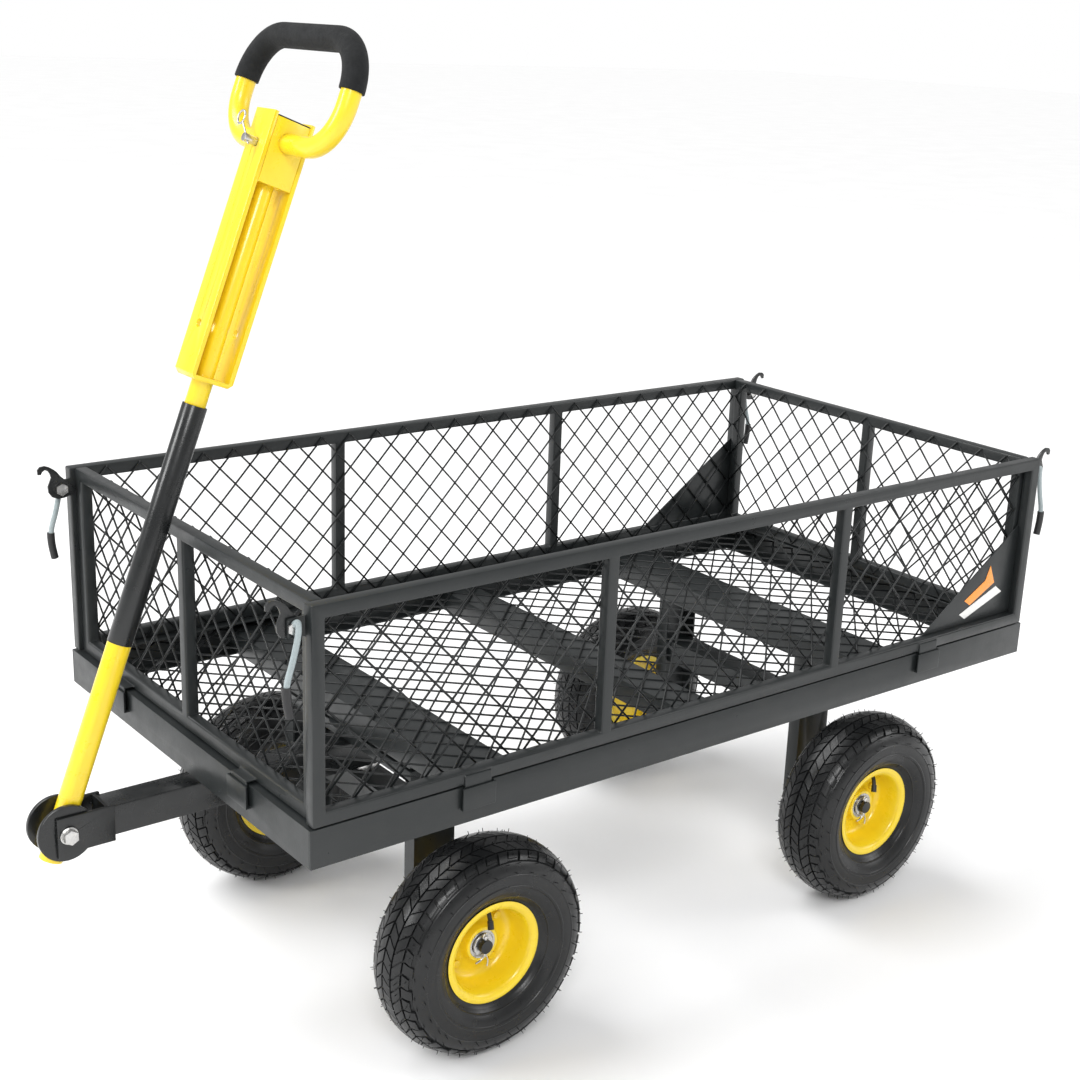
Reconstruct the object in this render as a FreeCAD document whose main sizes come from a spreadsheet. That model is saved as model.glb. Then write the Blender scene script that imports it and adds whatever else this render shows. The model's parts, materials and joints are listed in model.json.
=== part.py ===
import FreeCAD, Part
import math
import os
import re
import Sketcher

# Four-wheel garden cart: steel bed with removable mesh panels, a steered front axle and a tow handle.
# Lengths are millimetres. While modelling, x = 0 is the middle of the bed, y = 0 its centre line and
# z = 0 the ground; +X points to the handle end. Every sub-part is then moved back along X by ORIGIN_X,
# so that the origin lies on the ground under the middle of the whole cart.

Vector = FreeCAD.Vector
doc = FreeCAD.newDocument("garden_cart")

DIMENSIONS = {
    # bed
    "bed_length": 1120, "bed_width": 587.4, "rail_top": 360, "rail_height": 43, "rail_wall": 2.5,
    "rail_flange": 25, "floor_drop": 10, "wire": 2.5, "mesh_pitch": 42.5,
    "cross_x": 315, "cross_width": 70, "middle_width": 50, "plate_thick": 3,
    # panels
    "panel_top": 595, "panel_tube": 15, "panel_gap": 1.5, "panel_end_inset": 3, "end_panel_inset": 9,
    "mid_post_x": 184, "post_width": 14, "tab_width": 34, "tab_thick": 3, "tab_depth": 22,
    "side_tab_x": 360, "end_tab_y": 150, "keeper_wall": 2.5, "keeper_width": 42,
    "gusset_long": 180, "gusset_high": 125, "clearance": 0.3, "running_fit": 0.05,
    # latches at the four corners
    "latch_forward": 13, "latch_cam": 18.7, "latch_horn": 28, "latch_below_top": 23, "latch_bolt_radius": 4, 
    "lever_wire_radius": 3, "lever_drop": 84, "lever_grip_radius": 4.8, "lever_grip_length": 28,
    # wheels and axles
    "wheel_base": 630, "wheel_track": 488, "tyre_radius": 130, "tyre_half_width": 44,
    "rim_radius": 62, "rim_half_width": 29, "bead_radius": 53, "hub_outer": 6, "hub_inner": 39, "hub_radius": 21, "dish_depth": 6,
    "bearing_radius": 17, "bearing_width": 11, "axle_radius": 8, "axle_length": 518,
    "axle_head_radius": 13, "axle_head_width": 9,
    "leg_y": 150, "leg_width": 56, "leg_flange": 20, "leg_thick": 3, "leg_below_axle": 18,
    "beam_top": 249, "beam_depth": 32, "beam_width": 40, "spacer_radius": 11, "washer_thick": 2,
    # steering
    "kingpin_radius": 8, "thrust_thick": 4, "thrust_radius": 45, "bolster_height": 14, "bolster_width": 68,
    "tongue_width": 36, "tongue_wall": 3, "tongue_ahead": 91, "tongue_behind_pin": 30,
    # handle
    "pivot_ahead": 138, "pivot_z": 279, "handle_lean": 20.9, "ear_thick": 4, "ear_height": 42, "ear_back": 52,
    "ear_front": 12.5, "ear_lobe": 29, "disc_radius": 32, "disc_thick": 5, "pivot_bolt_radius": 5,
    "tube_radius": 13, "tube_wall": 1.45, "tube_tail": 37, "sleeve_start": 211, "sleeve_end": 478,
    "sleeve_wall": 0.45, "neck_start": 300, "neck_wall": 1.45, "clevis_start": 505, "clevis_end": 794,
    "clevis_depth": 50, "clevis_width": 40, "clevis_thick": 5, "clevis_corner": 5,
    "lock_high": 758, "lock_low": 562, "lock_hole_radius": 4.6, "lock_pin_radius": 4.5,
    # sliding grip
    "box_start": 720, "box_end": 790, "box_wall": 3, "rod_start": 400, "rod_wall": 2,
    "loop_start": 766, "loop_top": 880, "loop_half_width": 110, "loop_low_bend": 48, "loop_high_bend": 54,
    "loop_radius": 11, "grip_wall": 2.5, "grip_start": 828,
    "pin_length": 19.5, "pin_draw": 9, "clip_wire": 1.2, "clip_ring": 7,
}

sheet = doc.addObject("Spreadsheet::Sheet", "Dims")
for row, (alias, size) in enumerate(DIMENSIONS.items(), start=1):
    sheet.set(f"A{row}", alias)
    sheet.set(f"B{row}", str(size))
    sheet.setAlias(f"B{row}", alias)
doc.recompute()

nodes = []
WORD = re.compile(r"[a-z_]+[a-z]")


def bound(text):
    """An expression in which every word that names a dimension points at its cell."""
    return WORD.sub(lambda found: "Dims." + found.group() if found.group() in DIMENSIONS else found.group(),
                    str(text))


def size(text):
    """The number that an expression over the dimensions gives."""
    return float(sheet.evalExpression(bound(text)))


PIVOT_X = "(bed_length / 2 + pivot_ahead)"
TONGUE_FRONT = "(bed_length / 2 + tongue_ahead)"
ORIGIN_X = f"(({PIVOT_X} + disc_radius - rear_reach) / 2)"
REAR_REACH = "(bed_length / 2 - panel_end_inset + latch_forward + latch_horn)"
ORIGIN_X = ORIGIN_X.replace("rear_reach", REAR_REACH)


def bind(item, prop, text):
    item.setExpression(prop, bound(text))


def place(item, base, turn=None):
    """Put an object at three expressions, with an optional fixed turn."""
    if turn is not None:
        item.Placement = FreeCAD.Placement(Vector(), turn)
    for letter, text in zip("xyz", base):
        bind(item, f"Placement.Base.{letter}", text)
    return item


def box(name, low, high):
    """A block between two corners, each given as three expressions."""
    item = doc.addObject("Part::Box", name)
    for prop, start, end in zip(("Length", "Width", "Height"), low, high):
        bind(item, prop, f"({end}) - ({start})")
    return place(item, low)


AXIS_TURN = {
    "x": FreeCAD.Rotation(Vector(0, 1, 0), 90),
    "y": FreeCAD.Rotation(Vector(1, 0, 0), -90),
    "z": FreeCAD.Rotation(),
}


def rod(name, axis, radius, start, length):
    """A cylinder that runs from start along one axis."""
    item = doc.addObject("Part::Cylinder", name)
    bind(item, "Radius", radius)
    bind(item, "Height", length)
    return place(item, start, AXIS_TURN[axis])


def ring(name, axis, radius, bore, start, length):
    """A tube or washer that runs from start along one axis."""
    return cut(name, rod(name + "_outside", axis, radius, start, length),
               [rod(name + "_bore", axis, bore, start, length)])


def fuse(name, items):
    item = doc.addObject("Part::MultiFuse", name)
    item.Shapes = items
    return item


def group(name, items):
    item = doc.addObject("Part::Compound", name)
    item.Links = items
    return item


def cut(name, base, tools):
    item = doc.addObject("Part::Cut", name)
    item.Base = base
    item.Tool = tools[0] if len(tools) == 1 else fuse(name + "_tools", tools)
    return item


def formed(name, shape):
    """A sub-part whose shape is worked out directly from the dimensions."""
    item = doc.addObject("Part::Feature", name)
    item.Shape = shape
    return item


def node(label, item, placed=False):
    """Register a finished sub-part, and move it to the cart's origin unless it is placed already."""
    item.Label = label
    if not placed:
        bind(item, "Placement.Base.x", f"-{ORIGIN_X}")
    nodes.append(item)
    return item


def start_body(name):
    return doc.addObject("PartDesign::Body", name)


def start_sketch(body, name, plane):
    origin_plane = next(item for item in body.Origin.OriginFeatures if item.Role == plane)
    sketch = body.newObject("Sketcher::SketchObject", name)
    sketch.AttachmentSupport = [(origin_plane, "")]
    sketch.MapMode = "FlatFace"
    return sketch


def hold_point(sketch, line, end, point):
    """Fix one end of a line at two expressions from the sketch's origin."""
    for kind, text in zip(("DistanceX", "DistanceY"), point):
        index = sketch.addConstraint(Sketcher.Constraint(kind, -1, 1, line, end, size(text)))
        bind(sketch, f"Constraints[{index}]", text)


def draw_outline(sketch, points):
    """A closed outline of straight lines through points given as expressions."""
    first = sketch.GeometryCount
    spots = [Vector(size(across), size(up), 0) for across, up in points]
    count = len(points)
    for index in range(count):
        line = Part.LineSegment(spots[index], spots[(index + 1) % count])
        sketch.addGeometry(line, False)
    for index in range(count):
        following = first + (index + 1) % count
        sketch.addConstraint(Sketcher.Constraint("Coincident", first + index, 2, following, 1))
    for index in range(count):
        hold_point(sketch, first + index, 1, points[index])


def draw_rectangle(sketch, low, high):
    draw_outline(sketch, [low, (high[0], low[1]), high, (low[0], high[1])])


def draw_circle(sketch, centre, radius):
    circle = Part.Circle(Vector(size(centre[0]), size(centre[1]), 0), Vector(0, 0, 1), size(radius))
    index = sketch.addGeometry(circle, False)
    hold_point(sketch, index, 3, centre)
    limit = sketch.addConstraint(Sketcher.Constraint("Radius", index, size(radius)))
    bind(sketch, f"Constraints[{limit}]", radius)


def pad(body, sketch, length, midplane=True):
    feature = body.newObject("PartDesign::Pad", sketch.Name + "_pad")
    feature.Profile = sketch
    feature.Midplane = midplane
    bind(feature, "Length", length)
    return feature


def pocket_through(body, sketch):
    feature = body.newObject("PartDesign::Pocket", sketch.Name + "_pocket")
    feature.Profile = sketch
    feature.Type = "ThroughAll"
    feature.Midplane = True
    return feature


def turn_profile(body, sketch):
    feature = body.newObject("PartDesign::Revolution", sketch.Name + "_turned")
    feature.Profile = sketch
    feature.ReferenceAxis = (sketch, ["H_Axis"])
    feature.Angle = 360
    return feature


# ---------------------------------------------------------------- diamond mesh sheets

def clip_outline(points, edge, limit, keep):
    """The part of a convex outline on the kept side of one line across it."""
    result = []
    for index, point in enumerate(points):
        before = points[index - 1]
        inside = keep * (point[edge] - limit) >= 0
        if inside != (keep * (before[edge] - limit) >= 0):
            share = (limit - before[edge]) / (point[edge] - before[edge])
            result.append(tuple(before[k] + share * (point[k] - before[k]) for k in (0, 1)))
        if inside:
            result.append(point)
    return [point for index, point in enumerate(result) if math.dist(point, result[index - 1]) > 0.05]


def outline_area(points):
    """The area inside an outline; outlines of fewer than three points have none."""
    pairs = zip(points, points[1:] + points[:1])
    return abs(sum(a[0] * b[1] - b[0] * a[1] for a, b in pairs)) / 2


def outline_wire(points):
    spots = [Vector(across, up, 0) for across, up in points]
    return Part.makePolygon(spots + spots[:1])


def mesh_sheet(length, width):
    """A sheet of crossed wires, length by width, lying on z = 0, with diamond holes right through."""
    wire = size("wire")
    pitch = size("mesh_pitch")
    columns = max(1, round(length / pitch))
    rows = max(1, round(width / pitch))
    step_across = length / columns
    step_up = width / rows
    slant = wire * math.hypot(step_across, step_up) / 2
    half_across = step_across / 2 - slant / step_up
    half_up = step_up / 2 - slant / step_across
    holes = []
    for column in range(2 * columns + 1):
        for row in range(column % 2, 2 * rows + 1, 2):
            middle = (column * step_across / 2, row * step_up / 2)
            hole = [(middle[0] + half_across, middle[1]), (middle[0], middle[1] + half_up),
                    (middle[0] - half_across, middle[1]), (middle[0], middle[1] - half_up)]
            for edge, limit in ((0, length), (1, width)):
                hole = clip_outline(hole, edge, wire, 1)
                hole = clip_outline(hole, edge, limit - wire, -1)
            if outline_area(hole) > wire * wire:
                holes.append(outline_wire(hole))
    border = outline_wire([(0, 0), (length, 0), (length, width), (0, width)])
    return Part.makeFace([border] + holes, "Part::FaceMakerBullseye").extrude(Vector(0, 0, wire))


# ---------------------------------------------------------------- bed

HALF_LENGTH = "bed_length / 2"
HALF_WIDTH = "bed_width / 2"
RAIL_BOTTOM = "(rail_top - rail_height)"
KEEPER_REACH = "(tab_thick + 2 * clearance + keeper_wall)"


def keeper(name, side, along_x, place_along):
    """A pocket on the outside of a rail that takes one panel tab: open at the top and at one end."""
    half = "keeper_width / 2"
    depth = "(tab_depth + keeper_wall + 1)"
    low = [f"{place_along} - {half}", "0", f"rail_top - {depth}"]
    high = [f"{place_along} + {half}", KEEPER_REACH, "rail_top"]
    hollow_low = [f"{place_along} - {half} + keeper_wall", "0", f"rail_top - {depth} + keeper_wall"]
    hollow_high = [f"{place_along} + {half} + 1", f"{KEEPER_REACH} - keeper_wall", "rail_top + 1"]
    across = HALF_WIDTH if along_x else HALF_LENGTH

    def spot(corner, outward):
        distance = f"{side} * ({across} + {outward})"
        return [corner[0], distance, corner[2]] if along_x else [distance, corner[0], corner[2]]

    def block(suffix, start, end):
        near, far = (start[1], end[1]) if side > 0 else (end[1], start[1])
        return box(name + suffix, spot(start, near), spot(end, far))

    return cut(name, block("_shell", low, high), [block("_hollow", hollow_low, hollow_high)])


def side_rail(name, side):
    """A channel along one side: the full-length wall, and flanges that stop at the end rails."""
    body = start_body(name + "_channel")
    outer = f"{side} * {HALF_WIDTH}"
    wall = f"{side} * ({HALF_WIDTH} - rail_wall)"
    lip = f"{side} * ({HALF_WIDTH} - rail_flange)"
    web = start_sketch(body, name + "_web", "YZ_Plane")
    draw_rectangle(web, (outer, RAIL_BOTTOM), (wall, "rail_top"))
    pad(body, web, "bed_length")
    flanges = start_sketch(body, name + "_flanges", "YZ_Plane")
    draw_rectangle(flanges, (outer, RAIL_BOTTOM), (lip, f"{RAIL_BOTTOM} + rail_wall"))
    draw_rectangle(flanges, (outer, "rail_top - rail_wall"), (lip, "rail_top"))
    pad(body, flanges, "bed_length - 2 * rail_flange - 2 * clearance")
    pockets = [keeper(f"{name}_keeper_{index}", side, True, f"{end} * side_tab_x")
               for index, end in enumerate((1, -1))]
    return fuse(name + "_welded", [body] + pockets)


def end_rail(name, end):
    """A channel across one end, between the walls of the side rails."""
    body = start_body(name + "_channel")
    profile = start_sketch(body, name + "_profile", "XZ_Plane")
    outer = f"{end} * {HALF_LENGTH}"
    wall = f"{end} * ({HALF_LENGTH} - rail_wall)"
    lip = f"{end} * ({HALF_LENGTH} - rail_flange)"
    low_wall = f"{RAIL_BOTTOM} + rail_wall"
    high_wall = "rail_top - rail_wall"
    draw_outline(profile, [(outer, RAIL_BOTTOM), (lip, RAIL_BOTTOM), (lip, low_wall), (wall, low_wall),
                           (wall, high_wall), (lip, high_wall), (lip, "rail_top"), (outer, "rail_top")])
    pad(body, profile, "bed_width - 2 * rail_wall")
    pockets = [keeper(f"{name}_keeper_{index}", end, False, f"{side} * end_tab_y")
               for index, side in enumerate((1, -1))]
    return fuse(name + "_welded", [body] + pockets)


node("left_side_rail", side_rail("left_rail", 1))
node("right_side_rail", side_rail("right_rail", -1))
node("front_rail", end_rail("front_rail_part", 1))
node("rear_rail", end_rail("rear_rail_part", -1))

FLOOR_TOP = "(rail_top - floor_drop)"
FLOOR_EDGE = "(rail_wall + clearance)"
floor_length = size(f"bed_length - 2 * {FLOOR_EDGE}")
floor_width = size(f"bed_width - 2 * {FLOOR_EDGE}")
floor_mesh = formed("floor_mesh_sheet", mesh_sheet(floor_length, floor_width))
node("floor_mesh", floor_mesh, placed=True)
floor_mesh.Placement = FreeCAD.Placement(
    Vector(-floor_length / 2 - size(ORIGIN_X), -floor_width / 2, size(f"{FLOOR_TOP} - wire")),
    FreeCAD.Rotation())


def cross_member(name, middle, width, holes=()):
    """An upside-down channel from side rail to side rail, that carries the floor mesh."""
    body = start_body(name + "_channel")
    profile = start_sketch(body, name + "_profile", "XZ_Plane")
    top = f"{FLOOR_TOP} - wire"
    foot = f"{RAIL_BOTTOM} + rail_wall"
    left, right = f"{middle} - {width} / 2", f"{middle} + {width} / 2"
    draw_outline(profile, [(left, foot), (left, top), (right, top), (right, foot),
                           (f"{right} - plate_thick", foot), (f"{right} - plate_thick", f"{top} - plate_thick"),
                           (f"{left} + plate_thick", f"{top} - plate_thick"), (f"{left} + plate_thick", foot)])
    pad(body, profile, f"bed_width - 2 * {FLOOR_EDGE}")
    return body


KINGPIN_X = "wheel_base / 2"
BED_PLATE_LOW = f"({RAIL_BOTTOM} + rail_wall - plate_thick)"


def mount_plate(name, middle, bore):
    """The plate under a cross member that the axle frame hangs from."""
    half = "cross_width / 2"
    plate = box(name + "_blank", [f"{middle} - {half}", "-leg_y", BED_PLATE_LOW],
                [f"{middle} + {half}", "leg_y", f"{BED_PLATE_LOW} + plate_thick"])
    if not bore:
        return plate
    hole = rod(name + "_bore", "z", bore, [KINGPIN_X, "0", BED_PLATE_LOW], "plate_thick")
    return cut(name, plate, [hole])


front_cross = cross_member("front_cross", "cross_x", "cross_width")
kingpin_plate = mount_plate("kingpin_plate", "cross_x", "kingpin_radius + running_fit")
node("front_cross_plate", fuse("front_cross_welded", [front_cross, kingpin_plate]))
node("middle_cross_member", cross_member("middle_cross", "0", "middle_width"))
node("rear_cross_plate", cross_member("rear_cross", "-cross_x", "cross_width"))


# ---------------------------------------------------------------- axle frames and axles

def axle_frame(name, middle, top, cap=None):
    """Two channel legs joined by a beam, with holes that the axle passes through."""
    half = "leg_width / 2"
    parts = [cap] if cap else []
    bottom = "tyre_radius - leg_below_axle"
    for index, side in enumerate((1, -1)):
        low_y, high_y = ("leg_y - leg_flange", "leg_y") if side > 0 else ("-leg_y", "-leg_y + leg_flange")
        inner_low = low_y if side > 0 else f"{low_y} + leg_thick"
        inner_high = f"{high_y} - leg_thick" if side > 0 else high_y
        outside = box(f"{name}_leg_{index}_blank", [f"{middle} - {half}", low_y, bottom],
                      [f"{middle} + {half}", high_y, top])
        hollow = box(f"{name}_leg_{index}_hollow", [f"{middle} - {half} + leg_thick", inner_low, bottom],
                     [f"{middle} + {half} - leg_thick", inner_high, top])
        parts.append(cut(f"{name}_leg_{index}", outside, [hollow]))
    half_beam = "beam_width / 2"
    beam_end = "(leg_y - leg_thick)"
    beam_blank = box(name + "_beam_blank", [f"{middle} - {half_beam}", f"-{beam_end}", "beam_top - beam_depth"],
                     [f"{middle} + {half_beam}", beam_end, "beam_top"])
    beam_hollow = box(name + "_beam_hollow",
                      [f"{middle} - {half_beam} + leg_thick", f"-{beam_end}", "beam_top - beam_depth"],
                      [f"{middle} + {half_beam} - leg_thick", beam_end, "beam_top - leg_thick"])
    parts.append(cut(name + "_beam", beam_blank, [beam_hollow]))
    welded = fuse(name + "_welded", parts)
    hole = rod(name + "_axle_hole", "y", "axle_radius + running_fit",
               [middle, "-leg_y - 1", "tyre_radius"], "2 * leg_y + 2")
    return cut(name, welded, [hole])


def axle_hardware(name, middle):
    """Spacer tubes, washers and split pins that hold two wheels on an axle."""
    bore = "axle_radius + running_fit"
    hub_in = "(wheel_track / 2 - hub_inner - clearance)"
    hub_out = "(wheel_track / 2 + hub_outer + clearance)"
    spacer_end = f"({hub_in} - washer_thick)"
    pin_place = f"({hub_out} + washer_thick + 3)"
    parts = []
    for index, side in enumerate((1, -1)):
        starts = {"spacer": ("leg_y", spacer_end, "spacer_radius"),
                  "inner_washer": (spacer_end, hub_in, "spacer_radius + 4"),
                  "outer_washer": (hub_out, f"{hub_out} + washer_thick", "spacer_radius + 2")}
        for part, (near, far, radius) in starts.items():
            start = near if side > 0 else f"-({far})"
            parts.append(ring(f"{name}_{part}_{index}", "y", radius, bore,
                              [middle, start, "tyre_radius"], f"{far} - {near}"))
        parts.append(rod(f"{name}_split_pin_{index}", "z", "clip_wire + 0.4",
                         [middle, f"{side} * {pin_place}", "tyre_radius - axle_radius - 5"],
                         "2 * axle_radius + 10"))
    return group(name, parts)


def axle(name, middle):
    """A pair of stub axles, each with a head inside its leg and a hole for its split pin."""
    pin_place = "(wheel_track / 2 + hub_outer + clearance + washer_thick + 3)"
    head_start = "(leg_y - leg_thick - axle_head_width)"
    stubs = []
    for index, side in enumerate((1, -1)):
        bar_start = head_start if side > 0 else "-axle_length / 2"
        bar = rod(f"{name}_bar_{index}", "y", "axle_radius", [middle, bar_start, "tyre_radius"],
                  f"axle_length / 2 - {head_start}")
        cap_start = head_start if side > 0 else "-leg_y + leg_thick"
        cap = rod(f"{name}_head_{index}", "y", "axle_head_radius", [middle, cap_start, "tyre_radius"],
                  "axle_head_width")
        hole = rod(f"{name}_drill_{index}", "z", "clip_wire + 0.4 + running_fit",
                   [middle, f"{side} * {pin_place}", "tyre_radius - 2 * axle_radius"], "4 * axle_radius")
        stubs.append(cut(f"{name}_stub_{index}", fuse(f"{name}_welded_{index}", [bar, cap]), [hole]))
    return group(name, stubs)


REAR_X = "-wheel_base / 2"
rear_cap = mount_plate("rear_cap", "-cross_x", None)
node("rear_axle_frame", axle_frame("rear_frame", REAR_X, BED_PLATE_LOW, rear_cap))
node("rear_axle", axle("rear_axle_rod", REAR_X))
node("rear_axle_hardware", axle_hardware("rear_hardware", REAR_X))

THRUST_TOP = f"({BED_PLATE_LOW} - clearance)"
BOLSTER_TOP = f"({THRUST_TOP} - thrust_thick)"
TONGUE_TOP = f"({BOLSTER_TOP} - bolster_height)"
TONGUE_LOW = f"({TONGUE_TOP} - tongue_width)"

bolster_blank = box("bolster_blank", [f"{KINGPIN_X} - bolster_width / 2", "-leg_y", TONGUE_TOP],
                    [f"{KINGPIN_X} + bolster_width / 2", "leg_y", BOLSTER_TOP])
bolster_hole = rod("bolster_hole", "z", "kingpin_radius + running_fit", [KINGPIN_X, "0", TONGUE_TOP],
                   "bolster_height")
node("bolster", cut("bolster_bar", bolster_blank, [bolster_hole]))
node("thrust_washer", ring("thrust_ring", "z", "thrust_radius", "kingpin_radius + running_fit",
                           [KINGPIN_X, "0", BOLSTER_TOP], "thrust_thick"))
node("front_axle_frame", axle_frame("front_frame", KINGPIN_X, TONGUE_TOP))
node("front_axle", axle("front_axle_rod", KINGPIN_X))
node("front_axle_hardware", axle_hardware("front_hardware", KINGPIN_X))

kingpin_head = f"({BED_PLATE_LOW} + plate_thick + clearance)"
kingpin_foot = f"({TONGUE_LOW} - 12)"
node("kingpin", fuse("kingpin_bolt", [
    rod("kingpin_shank", "z", "kingpin_radius", [KINGPIN_X, "0", kingpin_foot], f"{kingpin_head} - {kingpin_foot}"),
    rod("kingpin_top", "z", "kingpin_radius + 6", [KINGPIN_X, "0", kingpin_head], "10"),
    rod("kingpin_nut", "z", "kingpin_radius + 5", [KINGPIN_X, "0", f"{TONGUE_LOW} - 10"], "10"),
]))


# ---------------------------------------------------------------- tongue and clevis bracket

tongue_back = f"({KINGPIN_X} - tongue_behind_pin)"
half_tongue = "tongue_width / 2"
tongue_blank = box("tongue_blank", [tongue_back, f"-{half_tongue}", TONGUE_LOW],
                   [TONGUE_FRONT, half_tongue, TONGUE_TOP])
tongue_hollow = box("tongue_hollow", [tongue_back, f"-{half_tongue} + tongue_wall", f"{TONGUE_LOW} + tongue_wall"],
                    [TONGUE_FRONT, f"{half_tongue} - tongue_wall", f"{TONGUE_TOP} - tongue_wall"])
tongue_hole = rod("tongue_hole", "z", "kingpin_radius + running_fit", [KINGPIN_X, "0", TONGUE_LOW],
                  "tongue_width")
node("tongue", cut("tongue_tube", tongue_blank, [tongue_hollow, tongue_hole]))


def ear(name, side):
    """One cheek of the clevis bracket: a plate with a round lobe under the pivot."""
    low_y = half_tongue if side > 0 else f"-{half_tongue} - ear_thick"
    high_y = f"{low_y} + ear_thick"
    plate = box(name + "_plate", [f"{PIVOT_X} - ear_back", low_y, "pivot_z - ear_height / 2"],
                [f"{PIVOT_X} + ear_front", high_y, "pivot_z + ear_height / 2"])
    lobe = rod(name + "_lobe", "y", "ear_lobe", [PIVOT_X, low_y, "pivot_z"], "ear_thick")
    trim = box(name + "_trim", [f"{PIVOT_X} + ear_front", low_y, "pivot_z - ear_lobe"],
               [f"{PIVOT_X} + ear_lobe + 1", high_y, "pivot_z + ear_lobe"])
    top_trim = box(name + "_top_trim", [f"{PIVOT_X} - ear_lobe", low_y, "pivot_z + ear_height / 2"],
                   [f"{PIVOT_X} + ear_lobe", high_y, "pivot_z + ear_lobe + 1"])
    return cut(name, fuse(name + "_joined", [plate, lobe]), [trim, top_trim])


web_plate = box("clevis_web", [TONGUE_FRONT, f"-{half_tongue}", "pivot_z - ear_height / 2"],
                [f"{TONGUE_FRONT} + ear_thick", half_tongue, "pivot_z + ear_height / 2"])
bracket = fuse("bracket_joined", [ear("near_ear", 1), ear("far_ear", -1), web_plate])
bracket_hole = rod("bracket_hole", "y", "pivot_bolt_radius + running_fit",
                   [PIVOT_X, f"-{half_tongue} - ear_thick", "pivot_z"], "tongue_width + 2 * ear_thick")
node("clevis_bracket", cut("bracket", bracket, [bracket_hole]))

bolt_end = f"({half_tongue} + ear_thick)"
node("handle_pivot_bolt", fuse("pivot_bolt", [
    rod("pivot_shank", "y", "pivot_bolt_radius", [PIVOT_X, f"-{bolt_end} - 12", "pivot_z"],
        f"2 * {bolt_end} + 16"),
    rod("pivot_washer", "y", "10", [PIVOT_X, bolt_end, "pivot_z"], "2"),
    rod("pivot_head", "y", "8.5", [PIVOT_X, f"{bolt_end} + 2", "pivot_z"], "6.5"),
    rod("pivot_nut", "y", "8.5", [PIVOT_X, f"-{bolt_end} - 9", "pivot_z"], "9"),
]))


# ---------------------------------------------------------------- handle, modelled upright on its own pivot

HANDLE_TURN = FreeCAD.Rotation(Vector(0, 1, 0), -size("handle_lean"))
NECK_RADIUS = "(tube_radius - tube_wall - running_fit)"
ROD_RADIUS = "(tube_radius - tube_wall - neck_wall - 2 * running_fit)"


def handle_node(label, item):
    """Lean a sub-part of the handle back and put its pivot on the pivot bolt."""
    item.Placement = FreeCAD.Placement(Vector(), HANDLE_TURN)
    bind(item, "Placement.Base.x", f"{PIVOT_X} - {ORIGIN_X}")
    bind(item, "Placement.Base.z", "pivot_z")
    return node(label, item, placed=True)


lower_outer = rod("lower_outer", "z", "tube_radius", ["0", "0", "-tube_tail"], "tube_tail + sleeve_end - 2")
lower_bore = rod("lower_bore", "z", "tube_radius - tube_wall", ["0", "0", "-tube_tail"],
                 "tube_tail + sleeve_end - 2")
cross_hole = rod("lower_cross_hole", "y", "pivot_bolt_radius + running_fit", ["0", "-tube_radius - 1", "0"],
                 "2 * tube_radius + 2")
handle_node("lower_tube", cut("lower_tube_part", lower_outer, [lower_bore, cross_hole]))
handle_node("handle_sleeve", ring("sleeve", "z", "tube_radius + sleeve_wall + running_fit",
                                  "tube_radius + running_fit", ["0", "0", "sleeve_start"],
                                  "sleeve_end - sleeve_start"))


def pivot_disc(name, side):
    """A round cheek plate on one side of the tube, hollowed so that the tube lies in it."""
    inner = f"({half_tongue} - clearance - disc_thick)"
    start = inner if side > 0 else f"-{half_tongue} + clearance"
    disc = rod(name + "_blank", "y", "disc_radius", ["0", start, "0"], "disc_thick")
    seat = rod(name + "_seat", "z", "tube_radius", ["0", "0", "-disc_radius - 1"], "2 * disc_radius + 2")
    hole = rod(name + "_hole", "y", "pivot_bolt_radius + running_fit", ["0", start, "0"], "disc_thick")
    return cut(name, disc, [seat, hole])


handle_node("pivot_discs", group("pivot_disc_pair", [pivot_disc("near_disc", 1), pivot_disc("far_disc", -1)]))


def tow_clevis():
    """The long yoke above the tube: a U-shaped strap with its neck tube and lock holes."""
    body = start_body("clevis_strap")
    profile = start_sketch(body, "clevis_profile", "XZ_Plane")
    outer = "clevis_depth / 2"
    inner = f"({outer} - clevis_thick)"
    floor = "clevis_start + clevis_thick"
    draw_outline(profile, [
        (outer, "clevis_end"), (inner, "clevis_end"), (inner, floor), (f"-{inner}", floor),
        (f"-{inner}", "clevis_end"), (f"-{outer}", "clevis_end"), (f"-{outer}", "clevis_start + clevis_corner"),
        (f"-{outer} + clevis_corner", "clevis_start"), (f"{outer} - clevis_corner", "clevis_start"),
        (outer, "clevis_start + clevis_corner")])
    pad(body, profile, "clevis_width")
    locks = start_sketch(body, "clevis_locks", "YZ_Plane")
    for height in ("lock_high", "lock_low"):
        draw_circle(locks, ("0", height), "lock_hole_radius")
    pocket_through(body, locks)
    neck = rod("neck", "z", NECK_RADIUS, ["0", "0", "neck_start"], "clevis_start - neck_start")
    bore = rod("neck_bore", "z", f"{ROD_RADIUS} + running_fit", ["0", "0", "neck_start"],
               f"{floor} - neck_start")
    return cut("clevis_and_neck", fuse("clevis_joined", [body, neck]), [bore])


handle_node("tow_clevis", tow_clevis())


# ---------------------------------------------------------------- sliding grip

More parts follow.
